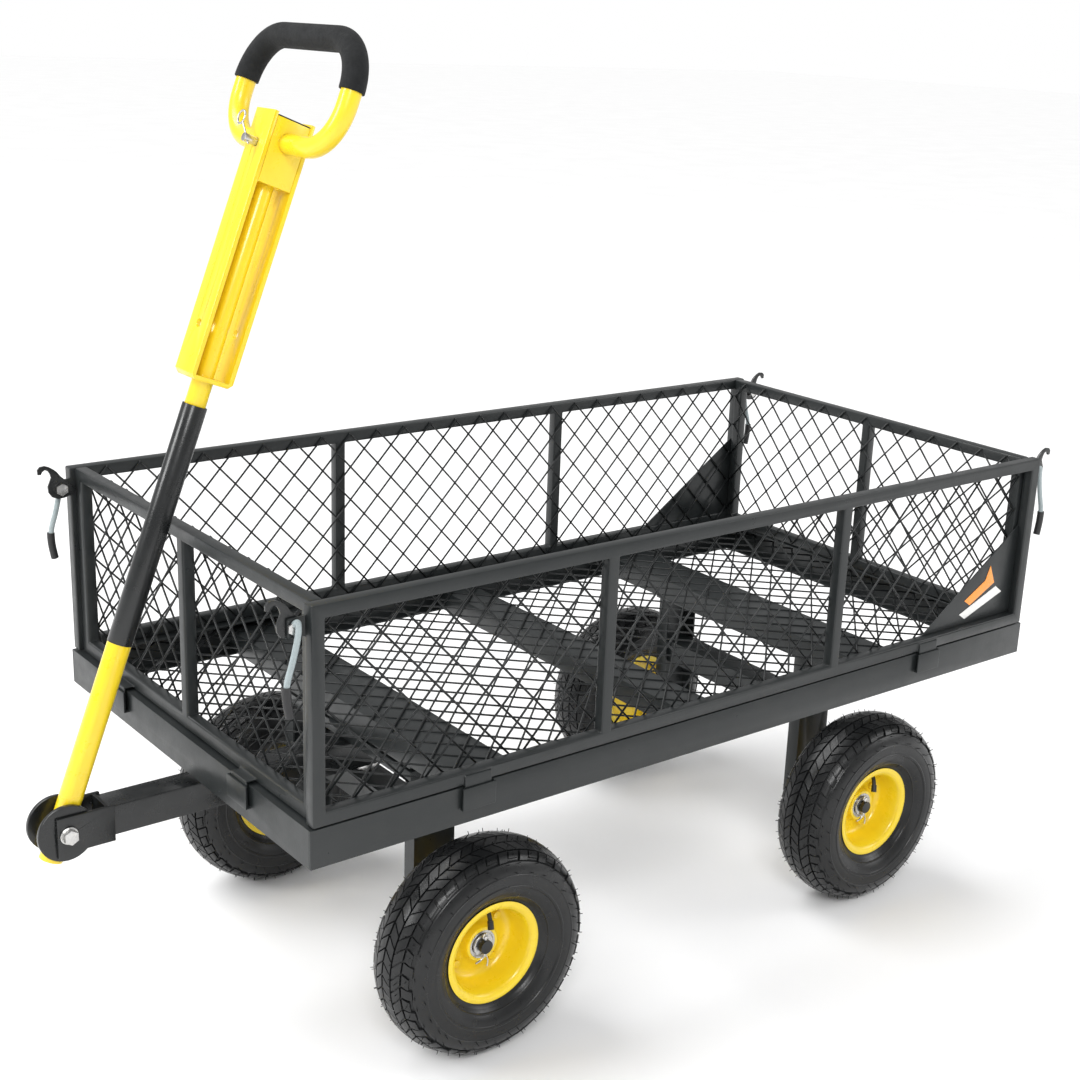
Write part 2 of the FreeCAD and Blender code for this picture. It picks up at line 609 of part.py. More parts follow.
BOX_HALF_DEPTH = "(clevis_depth / 2 - clevis_thick - clearance)"
BOX_HALF_WIDTH = "clevis_width / 2"
box_blank = box("slide_blank", [f"-{BOX_HALF_DEPTH}", f"-{BOX_HALF_WIDTH}", "box_start"],
                [BOX_HALF_DEPTH, BOX_HALF_WIDTH, "box_end"])
box_hollow = box("slide_hollow",
                 [f"-{BOX_HALF_DEPTH} + box_wall", f"-{BOX_HALF_WIDTH} + box_wall", "box_start + box_wall"],
                 [f"{BOX_HALF_DEPTH} - box_wall", f"{BOX_HALF_WIDTH} - box_wall", "box_end"])
box_hole = rod("slide_lock_hole", "x", "lock_hole_radius", ["-clevis_depth", "0", "lock_high"], "2 * clevis_depth")
handle_node("slide_box", cut("slide_box_part", box_blank, [box_hollow, box_hole]))
cap_plug = box("cap_plug", [f"-{BOX_HALF_DEPTH} + box_wall", f"-{BOX_HALF_WIDTH} + box_wall", "box_end - 6"],
               [f"{BOX_HALF_DEPTH} - box_wall", f"{BOX_HALF_WIDTH} - box_wall", "box_end"])
cap_lid = box("cap_lid", [f"-{BOX_HALF_DEPTH}", f"-{BOX_HALF_WIDTH}", "box_end"],
              [BOX_HALF_DEPTH, BOX_HALF_WIDTH, "box_end + 1.2"])
handle_node("box_cap", fuse("box_cap_part", [cap_plug, cap_lid]))
handle_node("slide_rod", ring("slide_rod_part", "z", ROD_RADIUS, f"{ROD_RADIUS} - rod_wall",
                              ["0", "0", "rod_start"], "box_start - rod_start"))


def loop_path(first_height, first_y):
    """Half of the grip loop's centre line in the YZ plane, from an arm up and over to the middle."""
    reach = size("loop_half_width")
    low, top = size("loop_start"), size("loop_top")
    low_bend, high_bend = size("loop_low_bend"), size("loop_high_bend")
    slope = math.sqrt(0.5)
    edges = []

    def spot(y_place, z_place):
        return Vector(0, y_place, z_place)

    rise_start = low + low_bend
    if first_height < rise_start:
        edges.append(Part.LineSegment(spot(first_y, low), spot(reach - low_bend, low)).toShape())
        middle = spot(reach - low_bend * (1 - slope), low + low_bend * (1 - slope))
        edges.append(Part.Arc(spot(reach - low_bend, low), middle, spot(reach, rise_start)).toShape())
        first_height = rise_start
    bend_start = top - high_bend
    if first_height < bend_start:
        edges.append(Part.LineSegment(spot(reach, first_height), spot(reach, bend_start)).toShape())
    turn = math.asin(max(0.0, first_height - bend_start) / high_bend)
    arc_start = spot(reach - high_bend * (1 - math.cos(turn)), bend_start + high_bend * math.sin(turn))
    half_turn = (turn + math.pi / 2) / 2
    middle = spot(reach - high_bend * (1 - math.cos(half_turn)), bend_start + high_bend * math.sin(half_turn))
    edges.append(Part.Arc(arc_start, middle, spot(reach - high_bend, top)).toShape())
    edges.append(Part.LineSegment(spot(reach - high_bend, top), spot(0, top)).toShape())
    return edges


def loop_tube(radius, first_height):
    """A round bar along the loop, from one end over the top to the other."""
    half = Part.Wire(loop_path(first_height, size(BOX_HALF_WIDTH)))
    start = half.OrderedEdges[0].firstVertex().Point
    heading = half.OrderedEdges[0].tangentAt(half.OrderedEdges[0].FirstParameter)
    circle = Part.Wire(Part.makeCircle(radius, start, heading))
    bar = half.makePipeShell([circle], True, False)
    other = bar.mirror(Vector(), Vector(0, 1, 0))
    return bar.fuse(other).removeSplitter()


loop_skin = loop_tube(size("loop_radius"), 0)
loop_bore = loop_tube(size("loop_radius - rod_wall"), 0)
handle_node("d_loop", formed("d_loop_part", loop_skin.cut(loop_bore)))
foam_bore = loop_tube(size("loop_radius + running_fit"), size("grip_start"))
foam_skin = loop_tube(size("loop_radius + grip_wall"), size("grip_start"))
handle_node("foam_grip", formed("foam_grip_part", foam_skin.cut(foam_bore)))

PIN_TIP = "(clevis_depth / 2 - clevis_thick + clearance)"
CLIP_PLACE = f"({PIN_TIP} + pin_length - 4)"
pin_bar = rod("pin_bar", "x", "lock_pin_radius", [PIN_TIP, "0", "lock_high"], "pin_length")
clip_slant = FreeCAD.Rotation(Vector(1, 0, 0), 50)
clip_hole = rod("clip_hole", "z", "clip_wire + running_fit", [CLIP_PLACE, "0", "lock_high"], "1")
clip_hole.Placement = FreeCAD.Placement(Vector(), clip_slant)


def along_clip(item, distance):
    """Put a cylinder on the clip's slanting line, a distance from the pin's axis."""
    item.Placement = FreeCAD.Placement(Vector(), clip_slant)
    bind(item, "Placement.Base.x", CLIP_PLACE)
    bind(item, "Placement.Base.y", f"-({distance}) * {math.sin(math.radians(50)):.6f}")
    bind(item, "Placement.Base.z", f"lock_high + ({distance}) * {math.cos(math.radians(50)):.6f}")
    return item


bind(clip_hole, "Height", "4 * lock_pin_radius")
along_clip(clip_hole, "-2 * lock_pin_radius")
handle_node("locking_pin", cut("locking_pin_part", pin_bar, [clip_hole]))
clip_leg = rod("clip_leg", "z", "clip_wire", ["0", "0", "0"], "34")
along_clip(clip_leg, "-9")
clip_ring = doc.addObject("Part::Torus", "clip_ring_part")
bind(clip_ring, "Radius1", "clip_ring")
bind(clip_ring, "Radius2", "clip_wire")
along_clip(clip_ring, "25 + clip_ring")
clip_ring.Placement = FreeCAD.Placement(clip_ring.Placement.Base, FreeCAD.Rotation(Vector(0, 1, 0), 90))
handle_node("pin_clip", fuse("pin_clip_part", [clip_leg, clip_ring]))


# ---------------------------------------------------------------- wheels

def tyre_shape():
    """A hollow tyre about the Y axis: round crown and sidewalls, open towards the rim."""
    radius = size("tyre_radius")
    width = size("tyre_half_width")
    bead = size("bead_radius")
    bead_side = size("rim_half_width - 3")
    wall = 7
    shoulder = Vector(0, width * 0.76, radius - 10)
    belly = Vector(0, width, (radius + bead) / 2 + 3)
    heel = Vector(0, bead_side, bead + 9)

    def flip(spot):
        return Vector(spot.x, -spot.y, spot.z)

    inner_shoulder = Vector(0, shoulder.y - wall + 1, shoulder.z - wall + 1)
    inner_belly = Vector(0, belly.y - wall, belly.z)
    inner_heel = Vector(0, heel.y - wall, heel.z)
    outer = [Part.Arc(heel, belly, shoulder), Part.Arc(shoulder, Vector(0, 0, radius), flip(shoulder)),
             Part.Arc(flip(shoulder), flip(belly), flip(heel))]
    inner = [Part.Arc(flip(inner_heel), flip(inner_belly), flip(inner_shoulder)),
             Part.Arc(flip(inner_shoulder), Vector(0, 0, radius - wall), inner_shoulder),
             Part.Arc(inner_shoulder, inner_belly, inner_heel)]
    toe = Vector(0, bead_side, bead)
    inner_toe = Vector(0, bead_side - wall, bead)
    lines = [(flip(heel), flip(toe)), (flip(toe), flip(inner_toe)), (flip(inner_toe), flip(inner_heel)),
             (inner_heel, inner_toe), (inner_toe, toe), (toe, heel)]
    edges = [arc.toShape() for arc in outer + inner]
    edges += [Part.LineSegment(start, end).toShape() for start, end in lines]
    profile = Part.Wire(Part.__sortEdges__(edges))
    return Part.Face(profile).revolve(Vector(), Vector(0, 1, 0), 360)


def rim_body(name):
    """A pressed rim about the Y axis: flanges, a well, one dished disc and the hub tube."""
    body = start_body(name)
    profile = start_sketch(body, name + "_section", "YZ_Plane")
    seat = "(bead_radius - clearance)"
    flange = "(rim_half_width - 2.5)"
    draw_outline(profile, [
        ("-rim_half_width", "rim_radius"), ("-rim_half_width", f"{seat} - 2.5"),
        ("-dish_depth - 2", f"{seat} - 2.5"), ("-dish_depth - 2", "hub_radius"),
        ("-hub_inner", "hub_radius"), ("-hub_inner", "bearing_radius"),
        ("hub_outer", "bearing_radius"), ("hub_outer", "hub_radius"),
        ("-dish_depth + 2", "hub_radius"), ("-dish_depth + 2", f"{seat} - 2.5"),
        ("rim_half_width", f"{seat} - 2.5"), ("rim_half_width", "rim_radius"),
        (flange, "rim_radius"), (flange, seat), (f"-{flange}", seat), (f"-{flange}", "rim_radius")])
    turn_profile(body, profile)
    return body


def bearings(name):
    """A pair of ball bearings, one in each end of the hub."""
    bore = "axle_radius + running_fit"
    return group(name, [
        ring(name + "_outer", "y", "bearing_radius", bore, ["0", "hub_outer - bearing_width", "0"],
             "bearing_width"),
        ring(name + "_inner", "y", "bearing_radius", bore, ["0", "-hub_inner", "0"], "bearing_width"),
    ])


WHEELS = {"front_left": (1, 1), "front_right": (1, -1), "rear_left": (-1, 1), "rear_right": (-1, -1)}
for corner, (end, side) in WHEELS.items():
    middle = [f"{end} * wheel_base / 2 - {ORIGIN_X}", f"{side} * wheel_track / 2", "tyre_radius"]
    outward = FreeCAD.Rotation(Vector(0, 0, 1), 0 if side > 0 else 180)
    tyre = formed(f"tyre_{corner}_part", tyre_shape())
    node(f"tyre_{corner}", place(tyre, middle, outward), placed=True)
    node(f"rim_{corner}", place(rim_body(f"rim_{corner}_part"), middle, outward), placed=True)
    node(f"bearings_{corner}", place(bearings(f"bearings_{corner}_part"), middle, outward), placed=True)


# ---------------------------------------------------------------- panels

PANEL_FOOT = "(rail_top + panel_gap)"
PANEL_OUT = f"({HALF_WIDTH} + clearance)"
SIDE_END = "(bed_length / 2 - panel_end_inset)"
END_OUT = "(bed_length / 2 - end_panel_inset)"
END_HALF = f"({PANEL_OUT} - panel_tube - 0.5)"
BAY_LOW = f"({PANEL_FOOT} + panel_tube)"
BAY_HIGH = "(panel_top - panel_tube)"
LATCH_X = f"({SIDE_END} + latch_forward)"
LATCH_Z = "(panel_top - latch_below_top)"
EAR_IN = f"({PANEL_OUT} - panel_tube)"
HOOK_OUT = f"({EAR_IN} - clearance)"


def panel_frame(name, plane, half_span, posts, place_middle):
    """A welded frame of square tube with upright posts, drawn flat and given its thickness."""
    body = start_body(name)
    sketch = start_sketch(body, name + "_outline", plane)
    draw_rectangle(sketch, (f"-{half_span}", PANEL_FOOT), (half_span, "panel_top"))
    edges = [f"-{half_span} + panel_tube"]
    for post in posts:
        edges += [f"{post} - post_width / 2", f"{post} + post_width / 2"]
    edges.append(f"{half_span} - panel_tube")
    for left, right in zip(edges[0::2], edges[1::2]):
        draw_rectangle(sketch, (left, BAY_LOW), (right, BAY_HIGH))
    pad(body, sketch, "panel_tube")
    letter = "y" if plane == "XZ_Plane" else "x"
    bind(body, f"Placement.Base.{letter}", place_middle)
    return body


def mirrored_box(name, low, high, side, letter):
    """A box given on the positive side of one axis, and put on the side asked for."""
    index = "xyz".index(letter)
    if side < 0:
        low, high = list(low), list(high)
        low[index], high[index] = f"-({high[index]})", f"-({low[index]})"
    return box(name, low, high)


def side_frame(name, side):
    """A side panel's frame with its two rail tabs and the ears of its corner latches."""
    frame = panel_frame(name + "_tubes", "XZ_Plane", SIDE_END, ("-mid_post_x", "mid_post_x"),
                        f"{side} * ({PANEL_OUT} - panel_tube / 2)")
    parts = [frame]
    for index, end in enumerate((1, -1)):
        tab_x = f"{end} * side_tab_x"
        parts.append(mirrored_box(f"{name}_tab_{index}",
                                  [f"{tab_x} - tab_width / 2", PANEL_OUT, "rail_top - tab_depth"],
                                  [f"{tab_x} + tab_width / 2", f"{PANEL_OUT} + tab_thick", f"{BAY_LOW} - 3"],
                                  side, "y"))
        ear_low = [SIDE_END, EAR_IN, f"{LATCH_Z} - 10"]
        ear_high = [f"{LATCH_X} + 6", f"{EAR_IN} + 3", f"{LATCH_Z} + 10"]
        if end < 0:
            ear_low[0], ear_high[0] = f"-({ear_high[0]})", f"-({ear_low[0]})"
        parts.append(mirrored_box(f"{name}_ear_{index}", ear_low, ear_high, side, "y"))
    holes = [rod(f"{name}_ear_hole_{index}", "y", "latch_bolt_radius + running_fit",
                 [f"{end} * {LATCH_X}", f"{side} * ({EAR_IN} + 1.5) - 3", LATCH_Z], "6")
             for index, end in enumerate((1, -1))]
    return cut(name, fuse(name + "_welded", parts), holes)


def latch_bolts(name, side):
    """The two bolts that a side panel's latch levers turn on, each with a head and a nut."""
    parts = []
    head_out = f"({HOOK_OUT} - 3 - clearance)"
    nut_in = f"({EAR_IN} + 3)"
    for index, end in enumerate((1, -1)):
        spans = {"shank": (f"{head_out} - 5", f"{nut_in} + 6", "latch_bolt_radius"),
                 "head": (f"{head_out} - 5", head_out, "latch_bolt_radius + 3.5"),
                 "nut": (nut_in, f"{nut_in} + 4", "latch_bolt_radius + 3")}
        pieces = []
        for part, (near, far, radius) in spans.items():
            start = near if side > 0 else f"-({far})"
            pieces.append(rod(f"{name}_{part}_{index}", "y", radius, [f"{end} * {LATCH_X}", start, LATCH_Z],
                              f"({far}) - ({near})"))
        parts.append(fuse(f"{name}_bolt_{index}", pieces))
    return group(name, parts)


def gusset(name, side):
    """The triangular corner plate at the rear foot of a side panel."""
    body = start_body(name)
    sketch = start_sketch(body, name + "_outline", "XZ_Plane")
    corner = f"-{SIDE_END} + panel_tube"
    draw_outline(sketch, [(corner, BAY_LOW), (f"{corner} + gusset_long", BAY_LOW),
                          (corner, f"{BAY_LOW} + gusset_high")])
    pad(body, sketch, "2")
    bind(body, "Placement.Base.y", f"{side} * ({PANEL_OUT} - 12)")
    return body


def upright_sheet(name, length, across_x, offset):
    """A mesh sheet stood on edge behind a panel frame, with its middle at the given offset."""
    height = size("panel_top - 3") - size(f"{PANEL_FOOT} + 3")
    sheet_part = formed(name, mesh_sheet(length, height))
    turn = FreeCAD.Rotation(Vector(1, 0, 0), 90)
    foot = size(f"{PANEL_FOOT} + 3")
    shift = size(ORIGIN_X)
    if across_x:
        base = Vector(-length / 2 - shift, offset + size("wire") / 2, foot)
        sheet_part.Placement = FreeCAD.Placement(base, turn)
    else:
        turn = FreeCAD.Rotation(Vector(0, 0, 1), 90).multiply(turn)
        base = Vector(offset - size("wire") / 2 - shift, -length / 2, foot)
        sheet_part.Placement = FreeCAD.Placement(base, turn)
    return sheet_part


mesh_gap = size("wire / 2 + 0.1")
for word, side in (("left", 1), ("right", -1)):
    node(f"{word}_panel_frame", side_frame(f"{word}_frame_part", side))
    node(f"{word}_latch_bolts", latch_bolts(f"{word}_bolts_part", side))
    node(f"{word}_gusset", gusset(f"{word}_gusset_part", side))
    sheet_y = side * (size(f"{PANEL_OUT} - panel_tube") - mesh_gap)
    sheet_length = 2 * (size(f"{END_OUT} - panel_tube") - 4)
    node(f"{word}_panel_mesh", upright_sheet(f"{word}_mesh_part", sheet_length, True, sheet_y), placed=True)


def end_frame(name, end):
    """An end panel's frame with its two rail tabs."""
    frame = panel_frame(name + "_tubes", "YZ_Plane", END_HALF, ("0",), f"{end} * ({END_OUT} - panel_tube / 2)")
    parts = [frame]
    for index, side in enumerate((1, -1)):
        tab_y = f"{side} * end_tab_y"
        tab_out = "(bed_length / 2 + clearance)"
        parts.append(mirrored_box(f"{name}_tab_{index}",
                                  [tab_out, f"{tab_y} - tab_width / 2", "rail_top - tab_depth"],
                                  [f"{tab_out} + tab_thick", f"{tab_y} + tab_width / 2",
                                   f"{PANEL_FOOT} + tab_thick"], end, "x"))
        parts.append(mirrored_box(f"{name}_tab_foot_{index}",
                                  [END_OUT, f"{tab_y} - tab_width / 2", PANEL_FOOT],
                                  [tab_out, f"{tab_y} + tab_width / 2", f"{PANEL_FOOT} + tab_thick"], end, "x"))
    return fuse(name, parts)


for word, end in (("front", 1), ("rear", -1)):
    node(f"{word}_panel_frame", end_frame(f"{word}_frame_part", end))
    sheet_x = end * (size(f"{END_OUT} - panel_tube") - mesh_gap)
    sheet_length = 2 * (size(END_HALF) - 4)
    node(f"{word}_panel_mesh", upright_sheet(f"{word}_mesh_part", sheet_length, False, sheet_x), placed=True)


# ---------------------------------------------------------------- corner latches

def latch_lever(name, end, side):
    """A stamped hook plate on its bolt, with a bent wire lever and the soft grip on its end."""
    body = start_body(name + "_hook")
    outline = start_sketch(body, name + "_outline", "XZ_Plane")

    def spot(forward, up):
        return (f"{end} * ({LATCH_X} + {forward})", f"{LATCH_Z} + {up}")

    draw_outline(outline, [spot("-latch_cam", "-6"), spot("4", "-10"), spot("17", "-8"), spot("18", "8"),
                           spot("26", "16"), spot("latch_horn", "30"), spot("22", "32"), spot("8", "18"),
                           spot("-6", "9"), spot("-latch_cam", "-2")])
    pad(body, outline, "3")
    bind(body, "Placement.Base.y", f"{side} * ({HOOK_OUT} - 1.5)")
    wire_y = f"{side} * ({HOOK_OUT} - lever_wire_radius)"
    wire_x = f"{end} * ({LATCH_X} + 14)"
    wire = rod(name + "_wire", "z", "lever_wire_radius", [wire_x, wire_y, f"{LATCH_Z} - lever_drop + 4"],
               "lever_drop + 4")
    hole = rod(name + "_hole", "y", "latch_bolt_radius + running_fit",
               [f"{end} * {LATCH_X}", f"{side} * ({HOOK_OUT} - 1.5) - 3", LATCH_Z], "6")
    lever = cut(name + "_lever", fuse(name + "_welded", [body, wire]), [hole])
    grip_start = [wire_x, wire_y, f"{LATCH_Z} - lever_drop"]
    grip_skin = rod(name + "_grip_skin", "z", "lever_grip_radius", grip_start, "lever_grip_length")
    grip_bore = rod(name + "_grip_bore", "z", "lever_wire_radius", [wire_x, wire_y, f"{LATCH_Z} - lever_drop + 4"],
                    "lever_drop")
    return group(name, [lever, cut(name + "_grip", grip_skin, [grip_bore])])


for corner, (end, side) in WHEELS.items():
    node(f"latch_lever_{corner}", latch_lever(f"latch_{corner}_part", end, side))


# ---------------------------------------------------------------- checks and export

doc.recompute()
for item in doc.Objects:
    if "Invalid" in item.State or "Error" in item.State:
        raise RuntimeError(f"{item.Name} ({item.Label}) did not recompute: {item.State}")
for item in nodes:
    if item.Shape.isNull() or not item.Shape.isValid() or not item.Shape.Solids:
        raise RuntimeError(f"{item.Label} has no valid solid")

os.makedirs("parts", exist_ok=True)
whole = FreeCAD.BoundBox()
for item in nodes:
    whole.add(item.Shape.BoundBox)
    item.Shape.exportStep(f"parts/{item.Label}.step")
print(f"{len(nodes)} sub-parts, {whole}")
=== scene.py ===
import json
import math

import bmesh
import bpy
from mathutils import Matrix, Vector


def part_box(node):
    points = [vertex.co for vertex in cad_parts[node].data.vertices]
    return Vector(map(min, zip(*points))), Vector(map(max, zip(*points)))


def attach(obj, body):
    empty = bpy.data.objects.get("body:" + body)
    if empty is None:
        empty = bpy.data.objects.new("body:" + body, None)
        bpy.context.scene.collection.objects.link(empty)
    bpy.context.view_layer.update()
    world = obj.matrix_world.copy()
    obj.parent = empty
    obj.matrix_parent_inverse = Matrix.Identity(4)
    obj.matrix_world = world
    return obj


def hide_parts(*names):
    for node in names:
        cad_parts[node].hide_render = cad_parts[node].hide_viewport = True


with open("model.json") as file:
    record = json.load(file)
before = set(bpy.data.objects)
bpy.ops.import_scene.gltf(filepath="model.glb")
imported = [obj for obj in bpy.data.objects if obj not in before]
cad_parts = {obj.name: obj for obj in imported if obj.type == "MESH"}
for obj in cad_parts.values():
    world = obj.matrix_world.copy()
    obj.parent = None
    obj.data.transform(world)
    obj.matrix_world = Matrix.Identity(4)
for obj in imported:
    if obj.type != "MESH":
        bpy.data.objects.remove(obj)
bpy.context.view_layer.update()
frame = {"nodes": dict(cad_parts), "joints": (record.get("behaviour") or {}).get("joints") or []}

JOINTS = {item["name"]: item for item in frame["joints"]}
NODES = frame["nodes"]
CORNERS = {"front_left": (1, 1), "front_right": (1, -1), "rear_left": (-1, 1), "rear_right": (-1, -1)}
MM = 0.001  # lengths below are in millimetres unless a line says metres


def pivot(joint):
    return Vector(JOINTS[joint]["pos_m"])


# ---------------------------------------------------------------- node helpers

def new_node(tree, kind, values=None, **settings):
    """Add a node, give it its settings, and fill its inputs from numbers or other nodes' sockets."""
    item = tree.nodes.new(kind)
    for key, value in settings.items():
        setattr(item, key, value)
    for key, value in (values or {}).items():
        socket = item.inputs[key]
        if isinstance(value, bpy.types.NodeSocket):
            tree.links.new(value, socket)
        else:
            socket.default_value = value
    return item


def calc(tree, operation, first, second=0.0):
    kind = "ShaderNodeMath"
    return new_node(tree, kind, {0: first, 1: second}, operation=operation).outputs[0]


def ramp(tree, factor, low, high, start=0.3, end=0.7):
    """Blend between two colours, or two greys, as the factor goes from start to end."""
    item = new_node(tree, "ShaderNodeValToRGB", {"Fac": factor})
    item.color_ramp.elements[0].position = start
    item.color_ramp.elements[1].position = end
    for element, value in zip(item.color_ramp.elements, (low, high)):
        element.color = (*value, 1) if isinstance(value, tuple) else (value, value, value, 1)
    return item.outputs["Color"]


def noise(tree, scale, detail=4.0, rough=0.55, stretch=(1, 1, 1)):
    """Noise in the object's own coordinates; scale is in ripples a metre."""
    place = new_node(tree, "ShaderNodeTexCoord").outputs["Object"]
    if stretch != (1, 1, 1):
        place = new_node(tree, "ShaderNodeMapping", {"Vector": place, "Scale": stretch}).outputs["Vector"]
    values = {"Vector": place, "Scale": scale, "Detail": detail, "Roughness": rough}
    return new_node(tree, "ShaderNodeTexNoise", values).outputs["Fac"]


def cells(tree, scale, feature="F1"):
    place = new_node(tree, "ShaderNodeTexCoord").outputs["Object"]
    item = new_node(tree, "ShaderNodeTexVoronoi", {"Vector": place, "Scale": scale}, feature=feature)
    return item.outputs["Distance"]


def bump(tree, height, strength, distance, under=None):
    values = {"Height": height, "Strength": strength, "Distance": distance}
    if under is not None:
        values["Normal"] = under
    return new_node(tree, "ShaderNodeBump", values).outputs["Normal"]


def start_material(name, metallic=0.0, coat=0.0, coat_rough=0.1, specular=0.5):
    made = bpy.data.materials.new(name)
    made.use_nodes = True
    tree = made.node_tree
    shader = tree.nodes["Principled BSDF"]
    shader.inputs["Metallic"].default_value = metallic
    shader.inputs["Coat Weight"].default_value = coat
    shader.inputs["Coat Roughness"].default_value = coat_rough
    shader.inputs["Specular IOR Level"].default_value = specular
    return made, tree, shader


def finish_material(tree, shader, colour, rough, normal):
    tree.links.new(colour, shader.inputs["Base Color"])
    tree.links.new(rough, shader.inputs["Roughness"])
    tree.links.new(normal, shader.inputs["Normal"])


def powder_coat(name, low, high, rough_low, rough_high, coat=0.0, peel=0.2, specular=0.5,
                dirt=(0.05, 0.048, 0.042), grime=0.12):
    """Paint with a fine orange-peel skin, slight colour drift and a little dust in patches."""
    made, tree, shader = start_material(name, coat=coat, coat_rough=0.12, specular=specular)
    drift = ramp(tree, noise(tree, 7, 3), low, high)
    patches = ramp(tree, noise(tree, 16, 8, 0.7), 0.0, grime, 0.52, 0.8)
    tinted = new_node(tree, "ShaderNodeMix", {"Factor": patches, 6: drift, 7: (*dirt, 1)}, data_type="RGBA")
    rough = ramp(tree, noise(tree, 45, 6, 0.65), rough_low, rough_high)
    skin = bump(tree, noise(tree, 420, 3, 0.5), peel, 0.0004)
    skin = bump(tree, noise(tree, 1500, 2, 0.5), peel * 0.6, 0.00015, skin)
    finish_material(tree, shader, tinted.outputs[2], rough, skin)
    return made


def zinc_plate():
    made, tree, shader = start_material("zinc_plate", metallic=1.0)
    spangle = ramp(tree, cells(tree, 420), (0.5, 0.5, 0.5), (0.6, 0.595, 0.58), 0.1, 0.8)
    stain = ramp(tree, noise(tree, 60, 6, 0.7), 0.0, 0.35, 0.5, 0.8)
    tinted = new_node(tree, "ShaderNodeMix", {"Factor": stain, 6: spangle, 7: (0.42, 0.39, 0.33, 1)},
                      data_type="RGBA")
    rough = ramp(tree, noise(tree, 180, 5, 0.6), 0.22, 0.42)
    finish_material(tree, shader, tinted.outputs[2], rough, bump(tree, noise(tree, 900, 3), 0.1, 0.0001))
    return made


def rubber(name, low, high, rough_low, rough_high, grain, depth, specular=0.45):
    made, tree, shader = start_material(name, specular=specular)
    drift = ramp(tree, noise(tree, 18, 7, 0.7), low, high)
    rough = ramp(tree, noise(tree, 70, 6, 0.6), rough_low, rough_high)
    skin = bump(tree, noise(tree, grain, 5, 0.65), 0.5, depth)
    skin = bump(tree, noise(tree, 60, 3, 0.5), 0.3, depth * 2, skin)
    finish_material(tree, shader, drift, rough, skin)
    return made


def foam_rubber():
    made, tree, shader = start_material("foam", specular=0.2)
    shader.inputs["Sheen Weight"].default_value = 0.04
    drift = ramp(tree, noise(tree, 40, 6, 0.7), (0.008, 0.0085, 0.009), (0.016, 0.017, 0.018))
    rough = ramp(tree, noise(tree, 200, 4), 0.75, 0.95)
    skin = bump(tree, cells(tree, 1500), 0.7, 0.0003)
    skin = bump(tree, noise(tree, 500, 4, 0.6), 0.5, 0.0004, skin)
    finish_material(tree, shader, drift, rough, skin)
    return made


GREY = powder_coat("grey_powder_coat", (0.011, 0.0135, 0.014), (0.018, 0.0205, 0.021), 0.27, 0.42,
                   specular=0.4)
WIRE = powder_coat("wire_coat", (0.007, 0.0085, 0.009), (0.012, 0.0135, 0.014), 0.3, 0.45,
                   specular=0.35)
BLACK = powder_coat("black_coat", (0.006, 0.007, 0.0075), (0.012, 0.013, 0.0135), 0.22, 0.38,
                    coat=0.2, specular=0.4)
YELLOW = powder_coat("yellow_enamel", (0.8, 0.575, 0.012), (0.88, 0.645, 0.016), 0.24, 0.38, coat=0.35,
                     peel=0.08, dirt=(0.5, 0.36, 0.04), grime=0.1)
ZINC = zinc_plate()
RUBBER = rubber("tyre_rubber", (0.004, 0.0045, 0.005), (0.009, 0.0095, 0.01), 0.24, 0.38, 700, 0.0002,
                specular=0.4)
GRIP = rubber("black_vinyl", (0.01, 0.01, 0.011), (0.022, 0.022, 0.023), 0.35, 0.55, 900, 0.0001)
SLEEVE = rubber("clear_sleeve", (0.26, 0.31, 0.32), (0.34, 0.39, 0.4), 0.22, 0.36, 900, 0.00005)
FOAM = foam_rubber()
ORANGE = powder_coat("label_orange", (0.85, 0.27, 0.01), (0.9, 0.31, 0.02), 0.25, 0.35, coat=0.4)
WHITE = powder_coat("label_white", (0.72, 0.72, 0.7), (0.8, 0.8, 0.78), 0.25, 0.35, coat=0.4)


# ---------------------------------------------------------------- mesh helpers

def finish_piece(name, mesh, body, skin, replaced=()):
    """Make a finished piece from a mesh that already lies where it belongs."""
    piece = bpy.data.objects.new(name, mesh)
    bpy.context.scene.collection.objects.link(piece)
    if skin is not None:
        mesh.materials.clear()
        mesh.materials.append(skin)
    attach(piece, body)
    if replaced:
        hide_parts(*replaced)
    return piece


def to_mesh(built, name, sharp_deg=32):
    """Turn a bmesh into a mesh with smooth faces and sharp edges."""
    bmesh.ops.recalc_face_normals(built, faces=built.faces)
    limit = math.radians(sharp_deg)
    for face in built.faces:
        face.smooth = True
    for edge in built.edges:
        edge.smooth = not (edge.is_manifold and edge.calc_face_angle(0) > limit)
    mesh = bpy.data.meshes.new(name)
    built.to_mesh(mesh)
    built.free()
    return mesh


def join_meshes(name, meshes):
    built = bmesh.new()
    for mesh in meshes:
        built.from_mesh(mesh)
    joined = bpy.data.meshes.new(name)
    built.to_mesh(joined)
    built.free()
    return joined


def placed(mesh, matrix):
    copy = mesh.copy()
    copy.transform(matrix)
    return copy


def lathe(name, profile, segments=96, closed=True, sharp_deg=28):
    """Turn (y, radius) pairs round the Y axis, in millimetres."""
    built = bmesh.new()
    rings = []
    for step in range(segments):
        turn = 2 * math.pi * step / segments
        rings.append([built.verts.new((r * math.sin(turn) * MM, y * MM, r * math.cos(turn) * MM))
                      for y, r in profile])
    pairs = len(profile) if closed else len(profile) - 1
    for step in range(segments):
        here, there = rings[step], rings[(step + 1) % segments]
        for index in range(pairs):
            after = (index + 1) % len(profile)
            built.faces.new((here[index], here[after], there[after], there[index]))
    bmesh.ops.remove_doubles(built, verts=built.verts, dist=1e-6)
    return to_mesh(built, name, sharp_deg)


